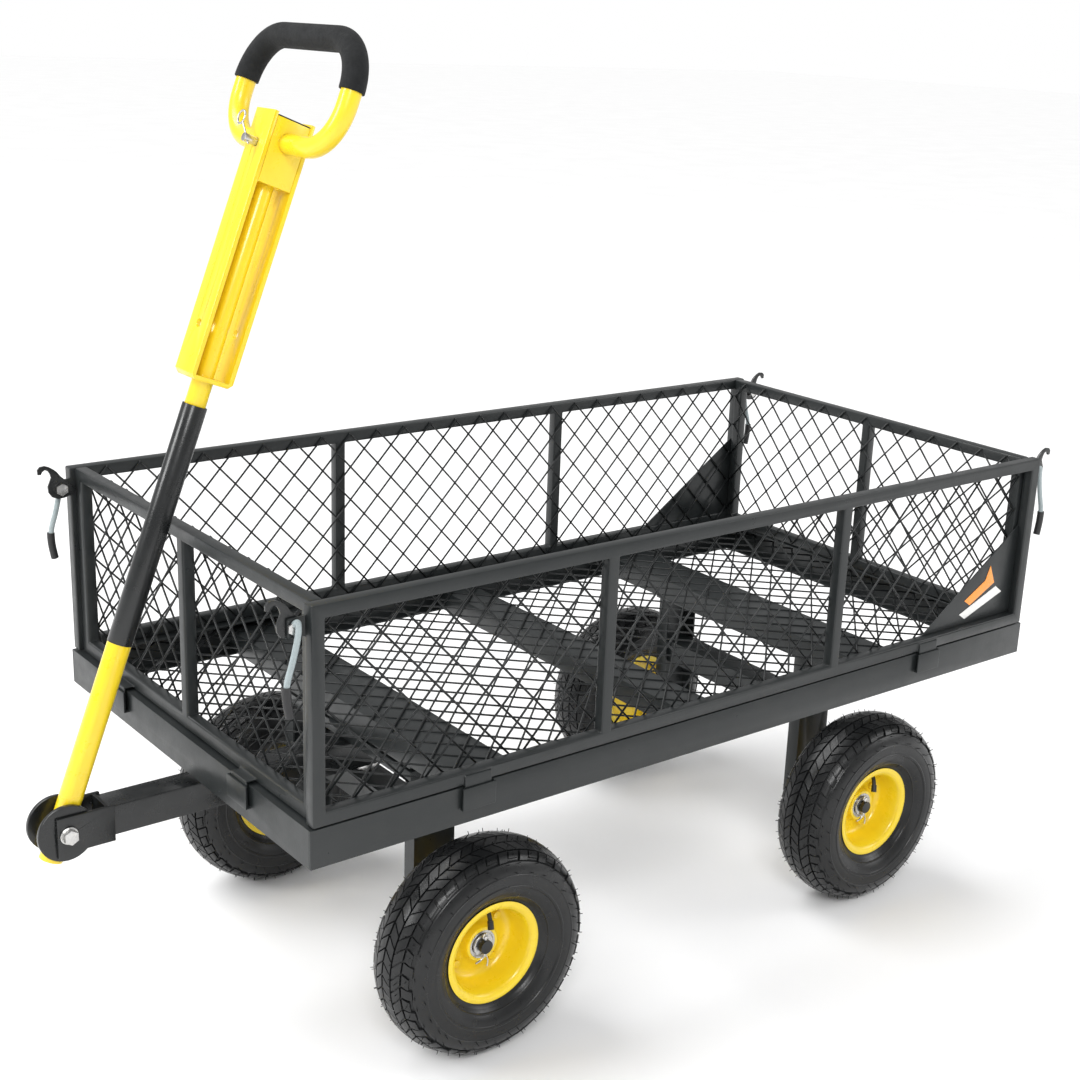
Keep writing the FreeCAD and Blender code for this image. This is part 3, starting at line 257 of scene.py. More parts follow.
def tube_along(name, points, radius, sides=16, smooth=True):
    """A round bar along points in metres, with rounded bends."""
    curve = bpy.data.curves.new(name, "CURVE")
    curve.dimensions = "3D"
    curve.bevel_depth = radius
    curve.bevel_resolution = sides // 4
    curve.use_fill_caps = True
    spline = curve.splines.new("NURBS" if smooth else "POLY")
    spline.points.add(len(points) - 1)
    for target, point in zip(spline.points, points):
        target.co = (*point, 1)
    if smooth:
        spline.order_u = 3
        spline.use_endpoint_u = True
        spline.resolution_u = 8
    holder = bpy.data.objects.new(name, curve)
    bpy.context.scene.collection.objects.link(holder)
    mesh = bpy.data.meshes.new_from_object(holder.evaluated_get(bpy.context.evaluated_depsgraph_get()))
    bpy.data.objects.remove(holder)
    for face in mesh.polygons:
        face.use_smooth = True
    return mesh


def prism(name, outline, low_y, high_y, edge=0.4):
    """An outline of (x, z) pairs given a thickness along Y, in metres, with softened edges."""
    built = bmesh.new()
    base = [built.verts.new((x, low_y, z)) for x, z in outline]
    face = built.faces.new(base)
    made = bmesh.ops.extrude_face_region(built, geom=[face])
    moved = [item for item in made["geom"] if isinstance(item, bmesh.types.BMVert)]
    bmesh.ops.translate(built, verts=moved, vec=(0, high_y - low_y, 0))
    bmesh.ops.recalc_face_normals(built, faces=built.faces)
    bmesh.ops.bevel(built, geom=built.edges[:], offset=edge * MM, segments=2, profile=0.7, affect="EDGES")
    return to_mesh(built, name)


def hexagon(name, radius, low_y, high_y):
    """A hex head or nut round the Y axis with chamfered corners."""
    outline = [(radius * math.sin(math.pi * k / 3), radius * math.cos(math.pi * k / 3)) for k in range(6)]
    return prism(name, outline, low_y, high_y, 0.5)


THREAD_PITCH = 1.25


def hex_bolt(name, spans):
    """Head, washer, shank, thread and nut along Y; spans are (kind, low, high, radius) in millimetres."""
    parts = []
    for kind, low, high, radius in spans:
        if kind == "hex":
            parts.append(hexagon(name + "_hex", radius * MM, low * MM, high * MM))
        elif kind == "washer":
            profile = [(low, radius - 0.4), (low, 1), (high, 1), (high, radius - 0.4), (high - 0.4, radius),
                       (low + 0.4, radius)]
            parts.append(lathe(name + "_washer", profile, 48))
        elif kind == "thread":
            turns = [(low, 0.5)]
            for k in range(int((high - low) / THREAD_PITCH)):
                turns += [(low + THREAD_PITCH * k, radius - 0.7), (low + THREAD_PITCH * (k + 0.5), radius)]
            turns += [(high, radius - 0.8), (high, 0.5)]
            parts.append(lathe(name + "_thread", turns, 32))
        else:
            profile = [(low, 0.5), (low, radius - 0.4), (low + 0.4, radius), (high - 0.4, radius),
                       (high, radius - 0.4), (high, 0.5)]
            parts.append(lathe(name + "_bar", profile, 40))
    return join_meshes(name, parts)


# ---------------------------------------------------------------- geometry nodes

def new_group(name, sockets):
    """A geometry node group with named inputs, and the node that carries them."""
    tree = bpy.data.node_groups.new(name, "GeometryNodeTree")
    tree.interface.new_socket("Geometry", in_out="INPUT", socket_type="NodeSocketGeometry")
    for label, kind in sockets:
        tree.interface.new_socket(label, in_out="INPUT", socket_type=kind)
    tree.interface.new_socket("Geometry", in_out="OUTPUT", socket_type="NodeSocketGeometry")
    return tree, tree.nodes.new("NodeGroupInput").outputs


def end_group(tree, parts, skin):
    joined = tree.nodes.new("GeometryNodeJoinGeometry")
    for part in parts:
        tree.links.new(part, joined.inputs[0])
    real = new_node(tree, "GeometryNodeRealizeInstances", {0: joined.outputs[0]})
    smooth = new_node(tree, "GeometryNodeSetShadeSmooth", {"Geometry": real.outputs[0], "Shade Smooth": True})
    painted = new_node(tree, "GeometryNodeSetMaterial", {"Geometry": smooth.outputs[0], "Material": skin})
    new_node(tree, "NodeGroupOutput", {0: painted.outputs[0]})


def vector(tree, across=0.0, along=0.0, up=0.0):
    return new_node(tree, "ShaderNodeCombineXYZ", {0: across, 1: along, 2: up}).outputs[0]


def rotation(tree, across=0.0, along=0.0, up=0.0):
    return new_node(tree, "FunctionNodeEulerToRotation", {0: vector(tree, across, along, up)}).outputs[0]


def lattice_group():
    """Two layers of crossed wires over a rectangle, with a weld at each crossing and along the edge."""
    tree, given = new_group("wire_lattice", [
        ("Length", "NodeSocketFloat"), ("Height", "NodeSocketFloat"), ("Columns", "NodeSocketInt"),
        ("Rows", "NodeSocketInt"), ("Radius", "NodeSocketFloat"), ("Material", "NodeSocketMaterial")])
    across = calc(tree, "DIVIDE", given["Length"], given["Columns"])
    up = calc(tree, "DIVIDE", given["Height"], given["Rows"])
    slope = calc(tree, "DIVIDE", up, across)
    index = new_node(tree, "GeometryNodeInputIndex").outputs[0]
    wires = calc(tree, "ADD", given["Columns"], given["Rows"])
    line = new_node(tree, "GeometryNodeMeshLine", {"Count": wires})
    shifted = calc(tree, "ADD", calc(tree, "SUBTRACT", index, given["Rows"]), 0.5)
    foot = calc(tree, "MULTIPLY", shifted, across)
    start = calc(tree, "MAXIMUM", foot, 0.0)
    end = calc(tree, "MINIMUM", calc(tree, "ADD", foot, calc(tree, "MULTIPLY", given["Rows"], across)),
               given["Length"])
    middle = calc(tree, "MULTIPLY", calc(tree, "ADD", start, end), 0.5)
    height = calc(tree, "MULTIPLY", calc(tree, "SUBTRACT", middle, foot), slope)
    angle = calc(tree, "ARCTANGENT", slope)
    stretch = calc(tree, "DIVIDE", calc(tree, "SUBTRACT", end, start), calc(tree, "COSINE", angle))
    wire = new_node(tree, "GeometryNodeMeshCylinder",
                    {"Vertices": 8, "Radius": given["Radius"], "Depth": 1.0})
    layer = calc(tree, "MULTIPLY", given["Radius"], 0.8)
    parts = []
    for flip in (False, True):
        place = calc(tree, "SUBTRACT", given["Length"], middle) if flip else middle
        turn = calc(tree, "SUBTRACT", math.pi, angle) if flip else angle
        depth = calc(tree, "MULTIPLY", layer, -1.0) if flip else layer
        spots = new_node(tree, "GeometryNodeSetPosition",
                         {"Geometry": line.outputs[0], "Position": vector(tree, place, height, depth)})
        parts.append(new_node(tree, "GeometryNodeInstanceOnPoints", {
            "Points": spots.outputs[0], "Instance": wire.outputs[0],
            "Rotation": rotation(tree, 0.0, math.pi / 2, turn), "Scale": vector(tree, 1.0, 1.0, stretch),
        }).outputs[0])
    per_row = calc(tree, "ADD", calc(tree, "MULTIPLY", given["Columns"], 2.0), 1.0)
    rows = calc(tree, "ADD", calc(tree, "MULTIPLY", given["Rows"], 2.0), 1.0)
    column = calc(tree, "MODULO", index, per_row)
    row = calc(tree, "FLOOR", calc(tree, "DIVIDE", calc(tree, "ADD", index, 0.5), per_row))
    spot = vector(tree, calc(tree, "MULTIPLY", calc(tree, "MULTIPLY", column, across), 0.5),
                  calc(tree, "MULTIPLY", calc(tree, "MULTIPLY", row, up), 0.5), 0.0)
    odd = calc(tree, "MODULO", calc(tree, "ADD", column, row), 2.0)
    all_spots = new_node(tree, "GeometryNodeMeshLine", {"Count": calc(tree, "MULTIPLY", per_row, rows)})
    moved = new_node(tree, "GeometryNodeSetPosition", {"Geometry": all_spots.outputs[0], "Position": spot})
    blob = new_node(tree, "GeometryNodeMeshIcoSphere", {"Radius": given["Radius"], "Subdivisions": 2})
    is_odd = calc(tree, "GREATER_THAN", odd, 0.5)
    parts.append(new_node(tree, "GeometryNodeInstanceOnPoints", {
        "Points": moved.outputs[0], "Selection": is_odd, "Instance": blob.outputs[0],
        "Scale": vector(tree, 1.45, 1.45, 1.15)}).outputs[0])
    end_group(tree, parts, given["Material"])
    return tree


def ring_group():
    """Copies of one object in a ring about the Y axis, with a seeded scatter of turn and size."""
    tree, given = new_group("ring_of", [
        ("Part", "NodeSocketObject"), ("Count", "NodeSocketInt"), ("Scatter", "NodeSocketFloat"),
        ("Size Scatter", "NodeSocketFloat"), ("Seed", "NodeSocketInt"), ("Material", "NodeSocketMaterial")])
    index = new_node(tree, "GeometryNodeInputIndex").outputs[0]
    line = new_node(tree, "GeometryNodeMeshLine", {"Count": given["Count"], "Offset": (0, 0, 0)})
    spots = new_node(tree, "GeometryNodeSetPosition", {"Geometry": line.outputs[0], "Position": (0, 0, 0)})
    jitter = new_node(tree, "FunctionNodeRandomValue", {2: -0.5, 3: 0.5, "Seed": given["Seed"]})
    shift = calc(tree, "MULTIPLY", jitter.outputs[1], given["Scatter"])
    share = calc(tree, "DIVIDE", calc(tree, "ADD", index, shift), given["Count"])
    turn = calc(tree, "MULTIPLY", share, 2 * math.pi)
    sizes = new_node(tree, "FunctionNodeRandomValue", {2: -1.0, 3: 0.0, "Seed": given["Seed"]})
    grown = calc(tree, "ADD", calc(tree, "MULTIPLY", sizes.outputs[1], given["Size Scatter"]), 1.0)
    source = new_node(tree, "GeometryNodeObjectInfo", {"Object": given["Part"], "As Instance": True})
    copies = new_node(tree, "GeometryNodeInstanceOnPoints", {
        "Points": spots.outputs[0], "Instance": source.outputs["Geometry"],
        "Rotation": rotation(tree, 0.0, turn, 0.0), "Scale": vector(tree, grown, grown, grown)})
    end_group(tree, [copies.outputs[0]], given["Material"])
    return tree


def smooth_group():
    """Smooth shading, kept sharp where faces meet at an angle."""
    tree, given = new_group("smooth_by_angle", [("Angle", "NodeSocketFloat")])
    angle = new_node(tree, "GeometryNodeInputMeshEdgeAngle").outputs[0]
    soft = calc(tree, "LESS_THAN", angle, given["Angle"])
    kind = "GeometryNodeSetShadeSmooth"
    faces = new_node(tree, kind, {"Geometry": given["Geometry"], "Shade Smooth": True}, domain="FACE")
    edges = new_node(tree, kind, {"Geometry": faces.outputs[0], "Shade Smooth": soft}, domain="EDGE")
    new_node(tree, "NodeGroupOutput", {0: edges.outputs[0]})
    return tree


def use_group(item, tree, values):
    """Put a node group on an object as a modifier and set its named inputs."""
    modifier = item.modifiers.new(tree.name, "NODES")
    modifier.node_group = tree
    for socket in tree.interface.items_tree:
        if socket.item_type == "SOCKET" and socket.in_out == "INPUT" and socket.name in values:
            modifier[socket.identifier] = values[socket.name]
    return modifier


def grow(name, tree, values):
    """The mesh that a node group makes by itself."""
    holder = bpy.data.objects.new(name, bpy.data.meshes.new(name + "_seed"))
    bpy.context.scene.collection.objects.link(holder)
    use_group(holder, tree, values)
    holder.update_tag()
    bpy.context.view_layer.update()
    mesh = bpy.data.meshes.new_from_object(holder.evaluated_get(bpy.context.evaluated_depsgraph_get()))
    bpy.data.objects.remove(holder)
    return mesh


LATTICE = lattice_group()
RING = ring_group()
SMOOTH = smooth_group()


# ---------------------------------------------------------------- CAD nodes that stay

NODE_SKINS = {
    GREY: ["left_side_rail", "right_side_rail", "front_rail", "rear_rail", "front_cross_plate",
           "middle_cross_member", "rear_cross_plate", "rear_axle_frame", "front_axle_frame", "bolster",
           "thrust_washer", "left_panel_frame", "right_panel_frame", "front_panel_frame",
           "rear_panel_frame", "left_gusset", "right_gusset"],
    BLACK: ["tongue", "rear_axle", "front_axle", "pivot_discs", "clevis_bracket", "handle_sleeve"],
    YELLOW: ["lower_tube", "tow_clevis", "slide_box", "slide_rod", "d_loop"],
    ZINC: ["kingpin", "locking_pin", "pin_clip", "front_axle_hardware", "rear_axle_hardware"],
    FOAM: ["foam_grip"],
    GRIP: ["box_cap"],
}
EDGE_MM = {"foam_grip": 1.0, "tow_clevis": 0.8, "slide_box": 0.9, "left_panel_frame": 2.4,
           "right_panel_frame": 2.4, "front_panel_frame": 2.4, "rear_panel_frame": 2.4, "tongue": 2.0,
           "front_rail": 0.8, "rear_rail": 0.8, "left_side_rail": 0.8, "right_side_rail": 0.8}
for skin, names in NODE_SKINS.items():
    for name in names:
        node = NODES[name]
        node.data.materials.clear()
        node.data.materials.append(skin)
        weld = node.modifiers.new("weld", "WELD")
        weld.merge_threshold = 1e-6
        edge = node.modifiers.new("edge", "BEVEL")
        edge.width = EDGE_MM.get(name, 0.5) * MM
        edge.segments = 2
        edge.limit_method = "ANGLE"
        edge.angle_limit = math.radians(40)
        use_group(node, SMOOTH, {"Angle": 0.6})


# ---------------------------------------------------------------- wire mesh sheets

WIRE_RADIUS = 1.25 * MM
PITCH = 42.5 * MM  # width of one diamond


def lattice_sheet(name, length, height):
    return grow(name, LATTICE, {
        "Length": length, "Height": height, "Columns": round(length / PITCH), "Rows": round(height / PITCH),
        "Radius": WIRE_RADIUS, "Material": WIRE})


SHEETS = {"floor_mesh": "bed", "left_panel_mesh": "left_panel", "right_panel_mesh": "right_panel",
          "front_panel_mesh": "front_panel", "rear_panel_mesh": "rear_panel"}
for node_name, body in SHEETS.items():
    low, high = (Vector(corner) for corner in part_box(node_name))
    span = high - low
    middle = (low + high) / 2
    if node_name == "floor_mesh":
        sheet = lattice_sheet("floor_lattice", span.x, span.y)
        sheet.transform(Matrix.Translation((low.x, low.y, middle.z)))
    elif span.x > span.y:
        sheet = lattice_sheet(node_name + "_wires", span.x, span.z)
        sheet.transform(Matrix.Translation((low.x, middle.y, low.z)) @ Matrix.Rotation(math.pi / 2, 4, "X"))
    else:
        sheet = lattice_sheet(node_name + "_wires", span.y, span.z)
        upright = Matrix.Rotation(math.pi / 2, 4, "Z") @ Matrix.Rotation(math.pi / 2, 4, "X")
        sheet.transform(Matrix.Translation((middle.x, low.y, low.z)) @ upright)
    finish_piece(node_name + "_wires", sheet, body, None, [node_name])


# ---------------------------------------------------------------- wheels

CROWN_ARC = 60.8
CROWN_CENTRE = 130 - CROWN_ARC
SHOULDER = 33.4
SIDE_ARC = 37.3
SIDE_CENTRE = (6.67, 93.93)
CROWN_TURN = math.asin(SHOULDER / CROWN_ARC)
SIDE_START = math.atan2(SHOULDER - SIDE_CENTRE[0], 120 - SIDE_CENTRE[1])


def tyre_point(along, sink=0.0):
    """A point of the tyre's section, (y, radius), at a distance along it from the crown."""
    side = 1 if along >= 0 else -1
    turn = abs(along) / CROWN_ARC
    if turn <= CROWN_TURN:
        reach = CROWN_ARC - sink
        return side * reach * math.sin(turn), CROWN_CENTRE + reach * math.cos(turn)
    turn = SIDE_START + (abs(along) - CROWN_ARC * CROWN_TURN) / SIDE_ARC
    reach = SIDE_ARC - sink
    return side * (SIDE_CENTRE[0] + reach * math.sin(turn)), SIDE_CENTRE[1] + reach * math.cos(turn)


def sidewall_relief(along):
    """How far the carcass lies under the outer skin: deep under the tread, with moulded rings below."""
    place = abs(along)
    if place < 40:
        return 2.6
    if place < 43:
        return 2.6 - (place - 40) * 0.4667
    for ring_start, ring_end, height in ((57, 59, 0.7), (70, 74, 1.2), (88, 90, 0.6)):
        if ring_start < place < ring_end:
            return 1.2 - height
    return 1.2


section = []
step = -96.0
while step <= 96.0:
    section.append(tyre_point(step, sidewall_relief(step)))
    step += 1.0
section += [(26, 60), (26, 53), (19, 53), (19, 60), (-19, 60), (-19, 53), (-26, 53), (-26, 60)]


BLOCK_LEVELS = ((4.0, 0.0), (0.8, 0.15), (0.1, 0.5))  # depth under the tread's skin, inset from the sides
MM_A_DEGREE = 2.2  # length of one degree of the tread
BLOCK_POINTS = 5  # points across a block, so that it follows the tyre's curve


def tread_block(built, along_low, along_high, turn_low, turn_high, skew):
    """One tread block, in degrees round the wheel and millimetres across it, rising from the carcass."""
    grid = []
    for depth, inset in BLOCK_LEVELS:
        rows = []
        for k in range(BLOCK_POINTS):
            share = k / (BLOCK_POINTS - 1)
            along = along_low + inset + (along_high - along_low - 2 * inset) * share
            y, radius = tyre_point(along, depth)
            lean = skew * (share - 0.5)
            turn_inset = inset / MM_A_DEGREE
            ends = []
            for turn in (turn_low + turn_inset, turn_high - turn_inset):
                angle = math.radians(turn + lean)
                spot = (radius * math.sin(angle) * MM, y * MM, radius * math.cos(angle) * MM)
                ends.append(built.verts.new(spot))
            rows.append(ends)
        grid.append(rows)
    for lower, upper in zip(grid, grid[1:]):
        for k in range(BLOCK_POINTS - 1):
            built.faces.new((lower[k][0], lower[k + 1][0], upper[k + 1][0], upper[k][0]))
            built.faces.new((lower[k][1], upper[k][1], upper[k + 1][1], lower[k + 1][1]))
        built.faces.new((lower[0][0], upper[0][0], upper[0][1], lower[0][1]))
        built.faces.new((lower[-1][0], lower[-1][1], upper[-1][1], upper[-1][0]))
    top = grid[-1]
    for k in range(BLOCK_POINTS - 1):
        built.faces.new((top[k][0], top[k + 1][0], top[k + 1][1], top[k][1]))


TREAD_PITCHES = 26
TREAD_ROWS = [  # from and to across the tread, from and to round it in degrees, skew in degrees
    (1.0, 13.2, 0.3, 6.6, 4.5), (1.0, 13.2, 7.2, 13.5, 4.5),
    (14.4, 27.0, 2.4, 8.7, -5.0), (14.4, 27.0, 9.3, 15.6, -5.0),
    (28.4, 41.5, 0.5, 6.3, 2.0), (28.4, 38.0, 7.1, 13.6, 2.0),
]
PITCH_DEG = 360 / TREAD_PITCHES
tread = bmesh.new()
for side in (1, -1):
    offset = 0.0 if side > 0 else PITCH_DEG / 2
    for low_mm, high_mm, low_deg, high_deg, skew in TREAD_ROWS:
        if side > 0:
            tread_block(tread, low_mm, high_mm, low_deg, high_deg, skew)
        else:
            tread_block(tread, -high_mm, -low_mm, low_deg + offset, high_deg + offset, -skew)
tread_part = bpy.data.objects.new("tread_unit", to_mesh(tread, "tread_unit", 40))

# moulding hairs, which stand out of the tread and the shoulders
HAIR_ROOT, HAIR_TIP = 0.6 * MM, 0.35 * MM
HAIR_LENGTH = 4.2
HAIR_LIMIT = 131.5
hair = bmesh.new()
for along in (-54.0, -44.0, -34.0, -22.0, -12.0, 12.0, 22.0, 34.0, 44.0, 54.0):
    root_y, root_r = tyre_point(along, 1.0)
    tip_y, tip_r = tyre_point(along, -HAIR_LENGTH)
    made = bmesh.ops.create_cone(hair, cap_ends=True, segments=5, radius1=HAIR_ROOT, radius2=HAIR_TIP,
                                 depth=1.0)
    start, end = Vector((0, root_y, root_r)) * MM, Vector((0, tip_y, min(tip_r, HAIR_LIMIT))) * MM
    lie = (end - start).to_track_quat("Z", "Y").to_matrix().to_4x4()
    size = Matrix.Diagonal((1, 1, (end - start).length, 1))
    twist = Matrix.Rotation(math.radians(along * 3.1), 4, "Y")
    move = twist @ Matrix.Translation((start + end) / 2) @ lie @ size
    bmesh.ops.transform(hair, matrix=move, verts=made["verts"])
hair_part = bpy.data.objects.new("hair_unit", to_mesh(hair, "hair_unit"))

tyre_mesh = join_meshes("tyre", [
    lathe("carcass", section, 128, sharp_deg=50),
    grow("tread", RING, {"Part": tread_part, "Count": TREAD_PITCHES, "Scatter": 0.0, "Size Scatter": 0.0,
                         "Seed": 1, "Material": RUBBER}),
    grow("hairs", RING, {"Part": hair_part, "Count": 30, "Scatter": 0.7, "Size Scatter": 0.012, "Seed": 4,
                         "Material": RUBBER}),
])

RIM_SECTION = [
    (26.5, 52.7), (26.8, 58), (27.4, 61), (28.6, 62), (29, 61), (28.6, 57), (27, 53.5), (24, 51), (10, 49.5),
    (-2, 48.5), (-7, 46), (-9, 42), (-9, 36), (-8, 30), (-6, 25), (-3, 22.5), (3, 21.3), (5.2, 21), (6, 20.3),
    (6, 17.2), (-39, 17.2), (-39, 20.3), (-38, 21), (-18, 21.2), (-13, 24), (-12, 30), (-12.5, 36), (-12.5, 43),
    (-12, 47.5), (-14, 49.5), (-23.5, 50), (-27, 52), (-28.6, 57), (-29, 61), (-28.6, 62), (-27.4, 61),
    (-26.8, 58), (-26.5, 52.7), (-20, 52.7), (20, 52.7)]
BEARING_SECTION = [(6, 17), (6, 14.8), (5.2, 14.4), (5, 11.8), (5.8, 11.4), (5.9, 8.2),
                   (-38.9, 8.2), (-38.8, 11.4), (-38, 11.8), (-38.2, 14.4), (-39, 14.8), (-39, 17)]
rim_mesh = lathe("rim", RIM_SECTION, 96, sharp_deg=45)
RIM_NUT_CIRCLE = 36
rim_bolts = []
for k in range(4):
    angle = math.pi / 2 * k + math.pi / 4
    seat = Matrix.Translation((RIM_NUT_CIRCLE * MM * math.sin(angle), 0, RIM_NUT_CIRCLE * MM * math.cos(angle)))
    rim_bolts.append(placed(hexagon("rim_nut", 5 * MM, -9.2 * MM, -5 * MM), seat))
bearing_mesh = lathe("bearing", BEARING_SECTION, 64)
valve_path = [Vector(p) * MM for p in ((0, -4, 45), (0, 4, 46), (0, 12, 40), (0, 16, 30))]
cap_path = [Vector(p) * MM for p in ((0, 15, 33), (0, 18, 24))]
valve_mesh = join_meshes("valve_stem", [tube_along("valve", valve_path, 2.6 * MM),
                                        tube_along("valve_cap", cap_path, 3.6 * MM, smooth=False)])

WHEEL_TURN = {"front_left": -6, "front_right": 40, "rear_left": -20, "rear_right": 75}
for corner, (_, side) in CORNERS.items():
    body = f"wheel_{corner}"
    spin = math.radians(WHEEL_TURN[corner])
    middle = Matrix.Translation(pivot(f"{corner}_wheel_spin"))
    turn = Matrix.Rotation(0 if side > 0 else math.pi, 4, "Z")
    lie = middle @ turn @ Matrix.Rotation(spin, 4, "Y")
    finish_piece(f"tyre_look_{corner}", placed(tyre_mesh, lie), body, RUBBER, [f"tyre_{corner}"])
    finish_piece(f"rim_look_{corner}", placed(rim_mesh, lie), body, YELLOW, [f"rim_{corner}"])
    finish_piece(f"rim_nuts_{corner}", placed(join_meshes("rim_nuts", rim_bolts), lie), body, YELLOW)
    finish_piece(f"bearing_look_{corner}", placed(bearing_mesh, lie), body, ZINC,
                 [f"bearings_{corner}"])
    finish_piece(f"valve_{corner}", placed(valve_mesh, lie), body, GRIP)


# ---------------------------------------------------------------- split pins

PIN_OUT = 11.5  # from the wheel's middle plane to the pin
PIN_EYE = [(3.2 * math.sin(math.radians(turn)), 12.5 - 3.2 * math.cos(math.radians(turn)))
           for turn in range(15, 346, 15)]
PIN_LEG_NEAR = [(0.7, -9), (2, -13), (7, -17), (13, -18)]
PIN_LEG_FAR = [(-0.7, -9), (-2, -14), (-4.5, -20), (-3, -26)]
PIN_PATH = [*reversed(PIN_LEG_FAR), *PIN_EYE, *PIN_LEG_NEAR]
for corner, (end, side) in CORNERS.items():
    middle = pivot(f"{corner}_wheel_spin")
    path = [middle + Vector((x, side * PIN_OUT, z)) * MM for x, z in PIN_PATH]
    finish_piece(f"split_pin_{corner}", tube_along("split_pin", path, 1.1 * MM, 12),
                 "front_axle_assembly" if end > 0 else "bed", ZINC)


# ---------------------------------------------------------------- pivot bolt, latches and label

pivot_bolt = hex_bolt("pivot_bolt", [
    ("washer", 22.05, 24, 10), ("hex", 24, 30.4, 8.6), ("bar", -24, 24, 4.95), ("hex", -31, -22.1, 8.6),
    ("thread", -34, -22, 4.9)])
handle_pivot = pivot("handle_lean")
finish_piece("pivot_bolt_look", placed(pivot_bolt, Matrix.Translation(handle_pivot)), "front_axle_assembly",
             ZINC, ["handle_pivot_bolt"])

for word, side in (("left", 1), ("right", -1)):
    bolts = []
    for corner, (_, corner_side) in CORNERS.items():
        if corner_side != side:
            continue
        place = pivot(f"{corner}_latch_turn")
        bolt = hex_bolt("latch_bolt", [
            ("hex", -6.6, -2.0, 7.6), ("bar", -2.2, 5, 3.95), ("hex", 5.1, 7.8, 6.8)])
        lie = Matrix.Translation(place) @ Matrix.Rotation(0 if side > 0 else math.pi, 4, "Z")
        bolts.append(placed(bolt, lie))
    finish_piece(f"{word}_latch_bolts_look", join_meshes("latch_bolts", bolts), f"{word}_panel", ZINC,
                 [f"{word}_latch_bolts"])

HOOK_LOW, HOOK_HIGH = 275.75, 278.65  # the hook plate's faces, from the cart's middle plane
LEVER_PLANE = 287.5
LEVER_LINE = [(-3, 2), (-2, -8), (1, -21), (5, -36), (10, -50), (11, -60)]
GRIP_LINE = [(11, -56), (11.2, -63), (10, -76), (7.5, -88)]
HOOK_OUTLINE = [(-18.6, -5), (-12, -9), (-4, -11.5), (4, -12), (11, -9), (15, -3), (15.5, 4), (12.5, 11),
                (11, 15), (12.5, 20), (15, 24), (18.5, 25.3), (21.5, 23.5), (23.5, 20), (27, 20.5), (27.2, 26),
                (24, 29.5), (18, 30.2), (13, 28.3), (8, 25), (4, 21.5), (0, 16), (-4, 12), (-11, 5),
                (-18.6, -1.5)]
for corner, (end, side) in CORNERS.items():
    place = pivot(f"{corner}_latch_turn")
    hook_low, hook_high = sorted((side * HOOK_LOW * MM, side * HOOK_HIGH * MM))
    outline = [(place.x + end * x * MM, place.z + z * MM) for x, z in HOOK_OUTLINE]
    hook = prism("hook", outline, hook_low, hook_high, 0.5)
    body = f"latch_{corner}"
    finish_piece(f"latch_hook_{corner}", hook, body, BLACK, [f"latch_lever_{corner}"])

    def lever_point(x, y, z):
        return Vector((place.x + end * x * MM, side * y * MM, place.z + z * MM))

    wire = [lever_point(0, 281, 2), lever_point(-2, 287, 9)]
    wire += [lever_point(x, LEVER_PLANE, z) for x, z in LEVER_LINE]
    finish_piece(f"latch_wire_{corner}", tube_along("latch_wire", wire, 3.2 * MM), body, SLEEVE)
    grip = [lever_point(x, LEVER_PLANE, z) for x, z in GRIP_LINE]
    finish_piece(f"latch_grip_{corner}", tube_along("latch_grip", grip, 4.6 * MM), body, GRIP)

low, high = (Vector(corner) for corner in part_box("left_gusset"))
label_y = high.y + 0.3 * MM


def label(name, points, skin, lift):
    outline = [(low.x + x * MM, low.z + z * MM) for x, z in points]
    face = prism(name, outline, label_y + lift * MM, label_y + (lift + 0.25) * MM, 0.05)
    finish_piece(name, face, "left_panel", skin)


label("label_bar_white", [(22, 34), (96, 8), (108, 16), (36, 44)], WHITE, 0.0)
label("label_bar_orange", [(40, 50), (88, 26), (100, 34), (60, 56), (52, 76)], ORANGE, 0.0)


# ---------------------------------------------------------------- floor, light and camera

REACH = 30  # metres of floor each way
floor_mesh = bpy.data.meshes.new("floor")
floor_mesh.from_pydata([(-REACH, -REACH, 0), (REACH, -REACH, 0), (REACH, REACH, 0), (-REACH, REACH, 0)], [],
                       [(0, 1, 2, 3)])
floor_item = bpy.data.objects.new("floor", floor_mesh)
bpy.context.scene.collection.objects.link(floor_item)
pale, pale_tree, pale_shader = start_material("pale_floor")
finish_material(pale_tree, pale_shader, ramp(pale_tree, noise(pale_tree, 3, 2), 0.9, 0.93),
                ramp(pale_tree, noise(pale_tree, 5, 2), 0.75, 0.85),
                bump(pale_tree, noise(pale_tree, 60), 0.02, 0.0002))
floor_mesh.materials.append(pale)


def area_light(name, spot, aim, power, width):
    data = bpy.data.lights.new(name, "AREA")
    data.shape = "DISK"
    data.size = width
    data.energy = power
    item = bpy.data.objects.new(name, data)
    item.location = spot
    item.rotation_euler = (Vector(aim) - Vector(spot)).to_track_quat("-Z", "Y").to_euler()
    bpy.context.scene.collection.objects.link(item)


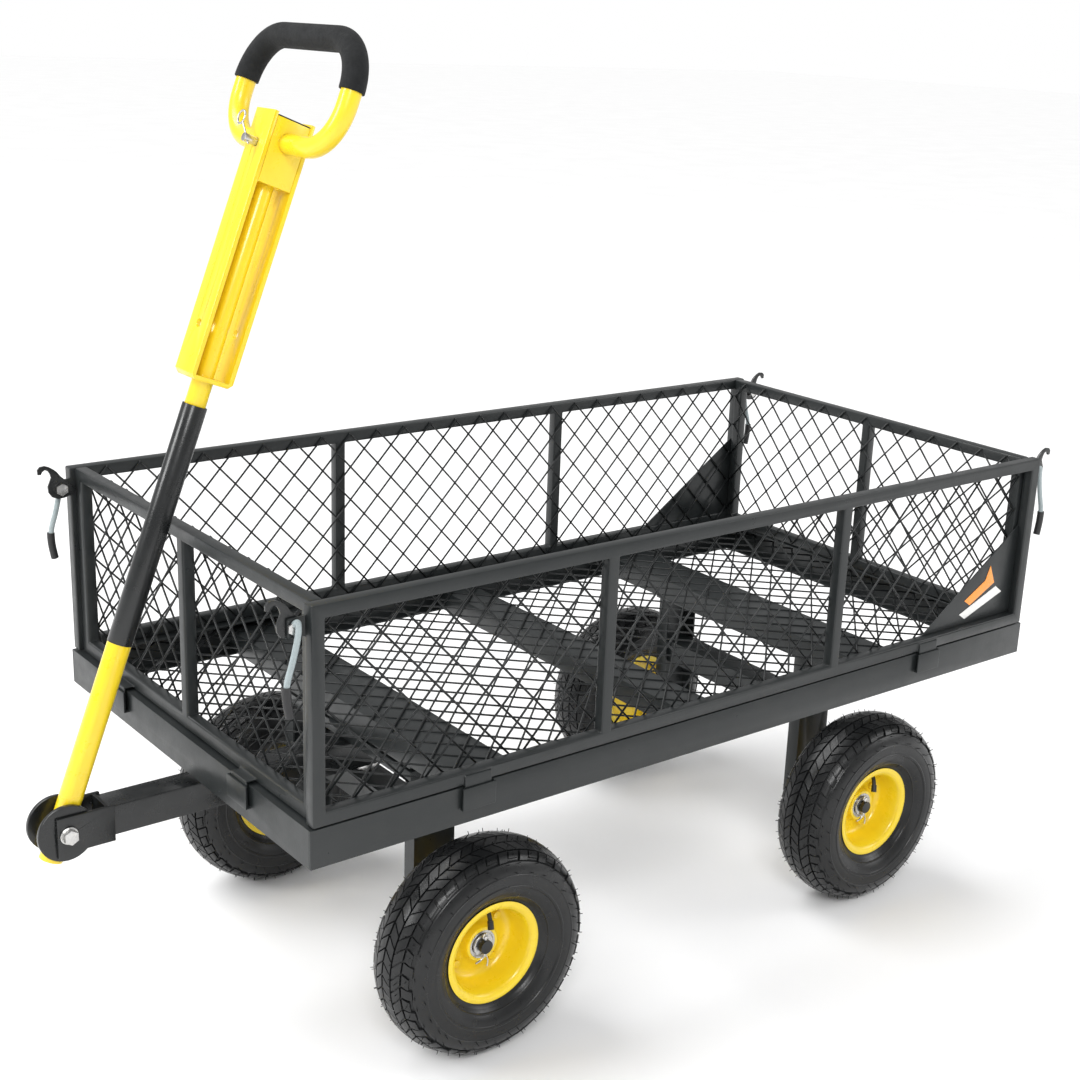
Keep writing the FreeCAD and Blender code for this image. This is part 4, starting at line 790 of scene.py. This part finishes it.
area_light("key", (2.6, 3.6, 3.8), (0, 0, 0.4), 130, 1.8)
area_light("fill", (-3.2, 2.6, 2.2), (0, 0, 0.4), 45, 2.2)
area_light("front", (3.8, -1.2, 2.4), (0.2, 0, 0.4), 70, 1.5)
sky_light = bpy.data.lights.new("overhead", "SUN")
sky_light.energy = 2.1
sky_light.angle = math.radians(40)
overhead = bpy.data.objects.new("overhead", sky_light)
overhead.rotation_euler = Vector((-0.34, 0.4, -0.78)).to_track_quat("-Z", "Y").to_euler()
bpy.context.scene.collection.objects.link(overhead)

world = bpy.data.worlds.new("studio")
world.use_nodes = True
sky = world.node_tree
# white behind the cart, but dimmer as a light, so that dark paint and rubber keep their highlights
seen = new_node(sky, "ShaderNodeLightPath").outputs["Is Camera Ray"]
strength = calc(sky, "ADD", calc(sky, "MULTIPLY", seen, 0.45), 0.55)
sky.nodes["Background"].inputs["Color"].default_value = (1, 1, 1, 1)
sky.links.new(strength, sky.nodes["Background"].inputs["Strength"])
bpy.context.scene.world = world
bpy.context.scene.view_settings.view_transform = "Standard"

CAMERA_PLACE = (1.23376, 1.59679, 1.13383)  # metres
AZIMUTH, ELEVATION, ROLL = (math.radians(angle) for angle in (140.813, 17.854, 2.518))
back = Vector((math.sin(AZIMUTH) * math.cos(ELEVATION), -math.cos(AZIMUTH) * math.cos(ELEVATION),
               math.sin(ELEVATION)))
right = (-back).cross(Vector((0, 0, 1))).normalized()
above = right.cross(-back)
camera_data = bpy.data.cameras.new("camera")
camera_data.lens = 55.77
camera_data.sensor_width = 36
camera_data.shift_x = -0.0344
camera_data.shift_y = 0.0139
camera = bpy.data.objects.new("camera", camera_data)
bpy.context.scene.collection.objects.link(camera)
axis_x = math.cos(ROLL) * right + math.sin(ROLL) * above
axis_y = -math.sin(ROLL) * right + math.cos(ROLL) * above
turned = Matrix((axis_x, axis_y, back)).transposed().to_4x4()
camera.matrix_world = Matrix.Translation(CAMERA_PLACE) @ turned
bpy.context.scene.camera = camera
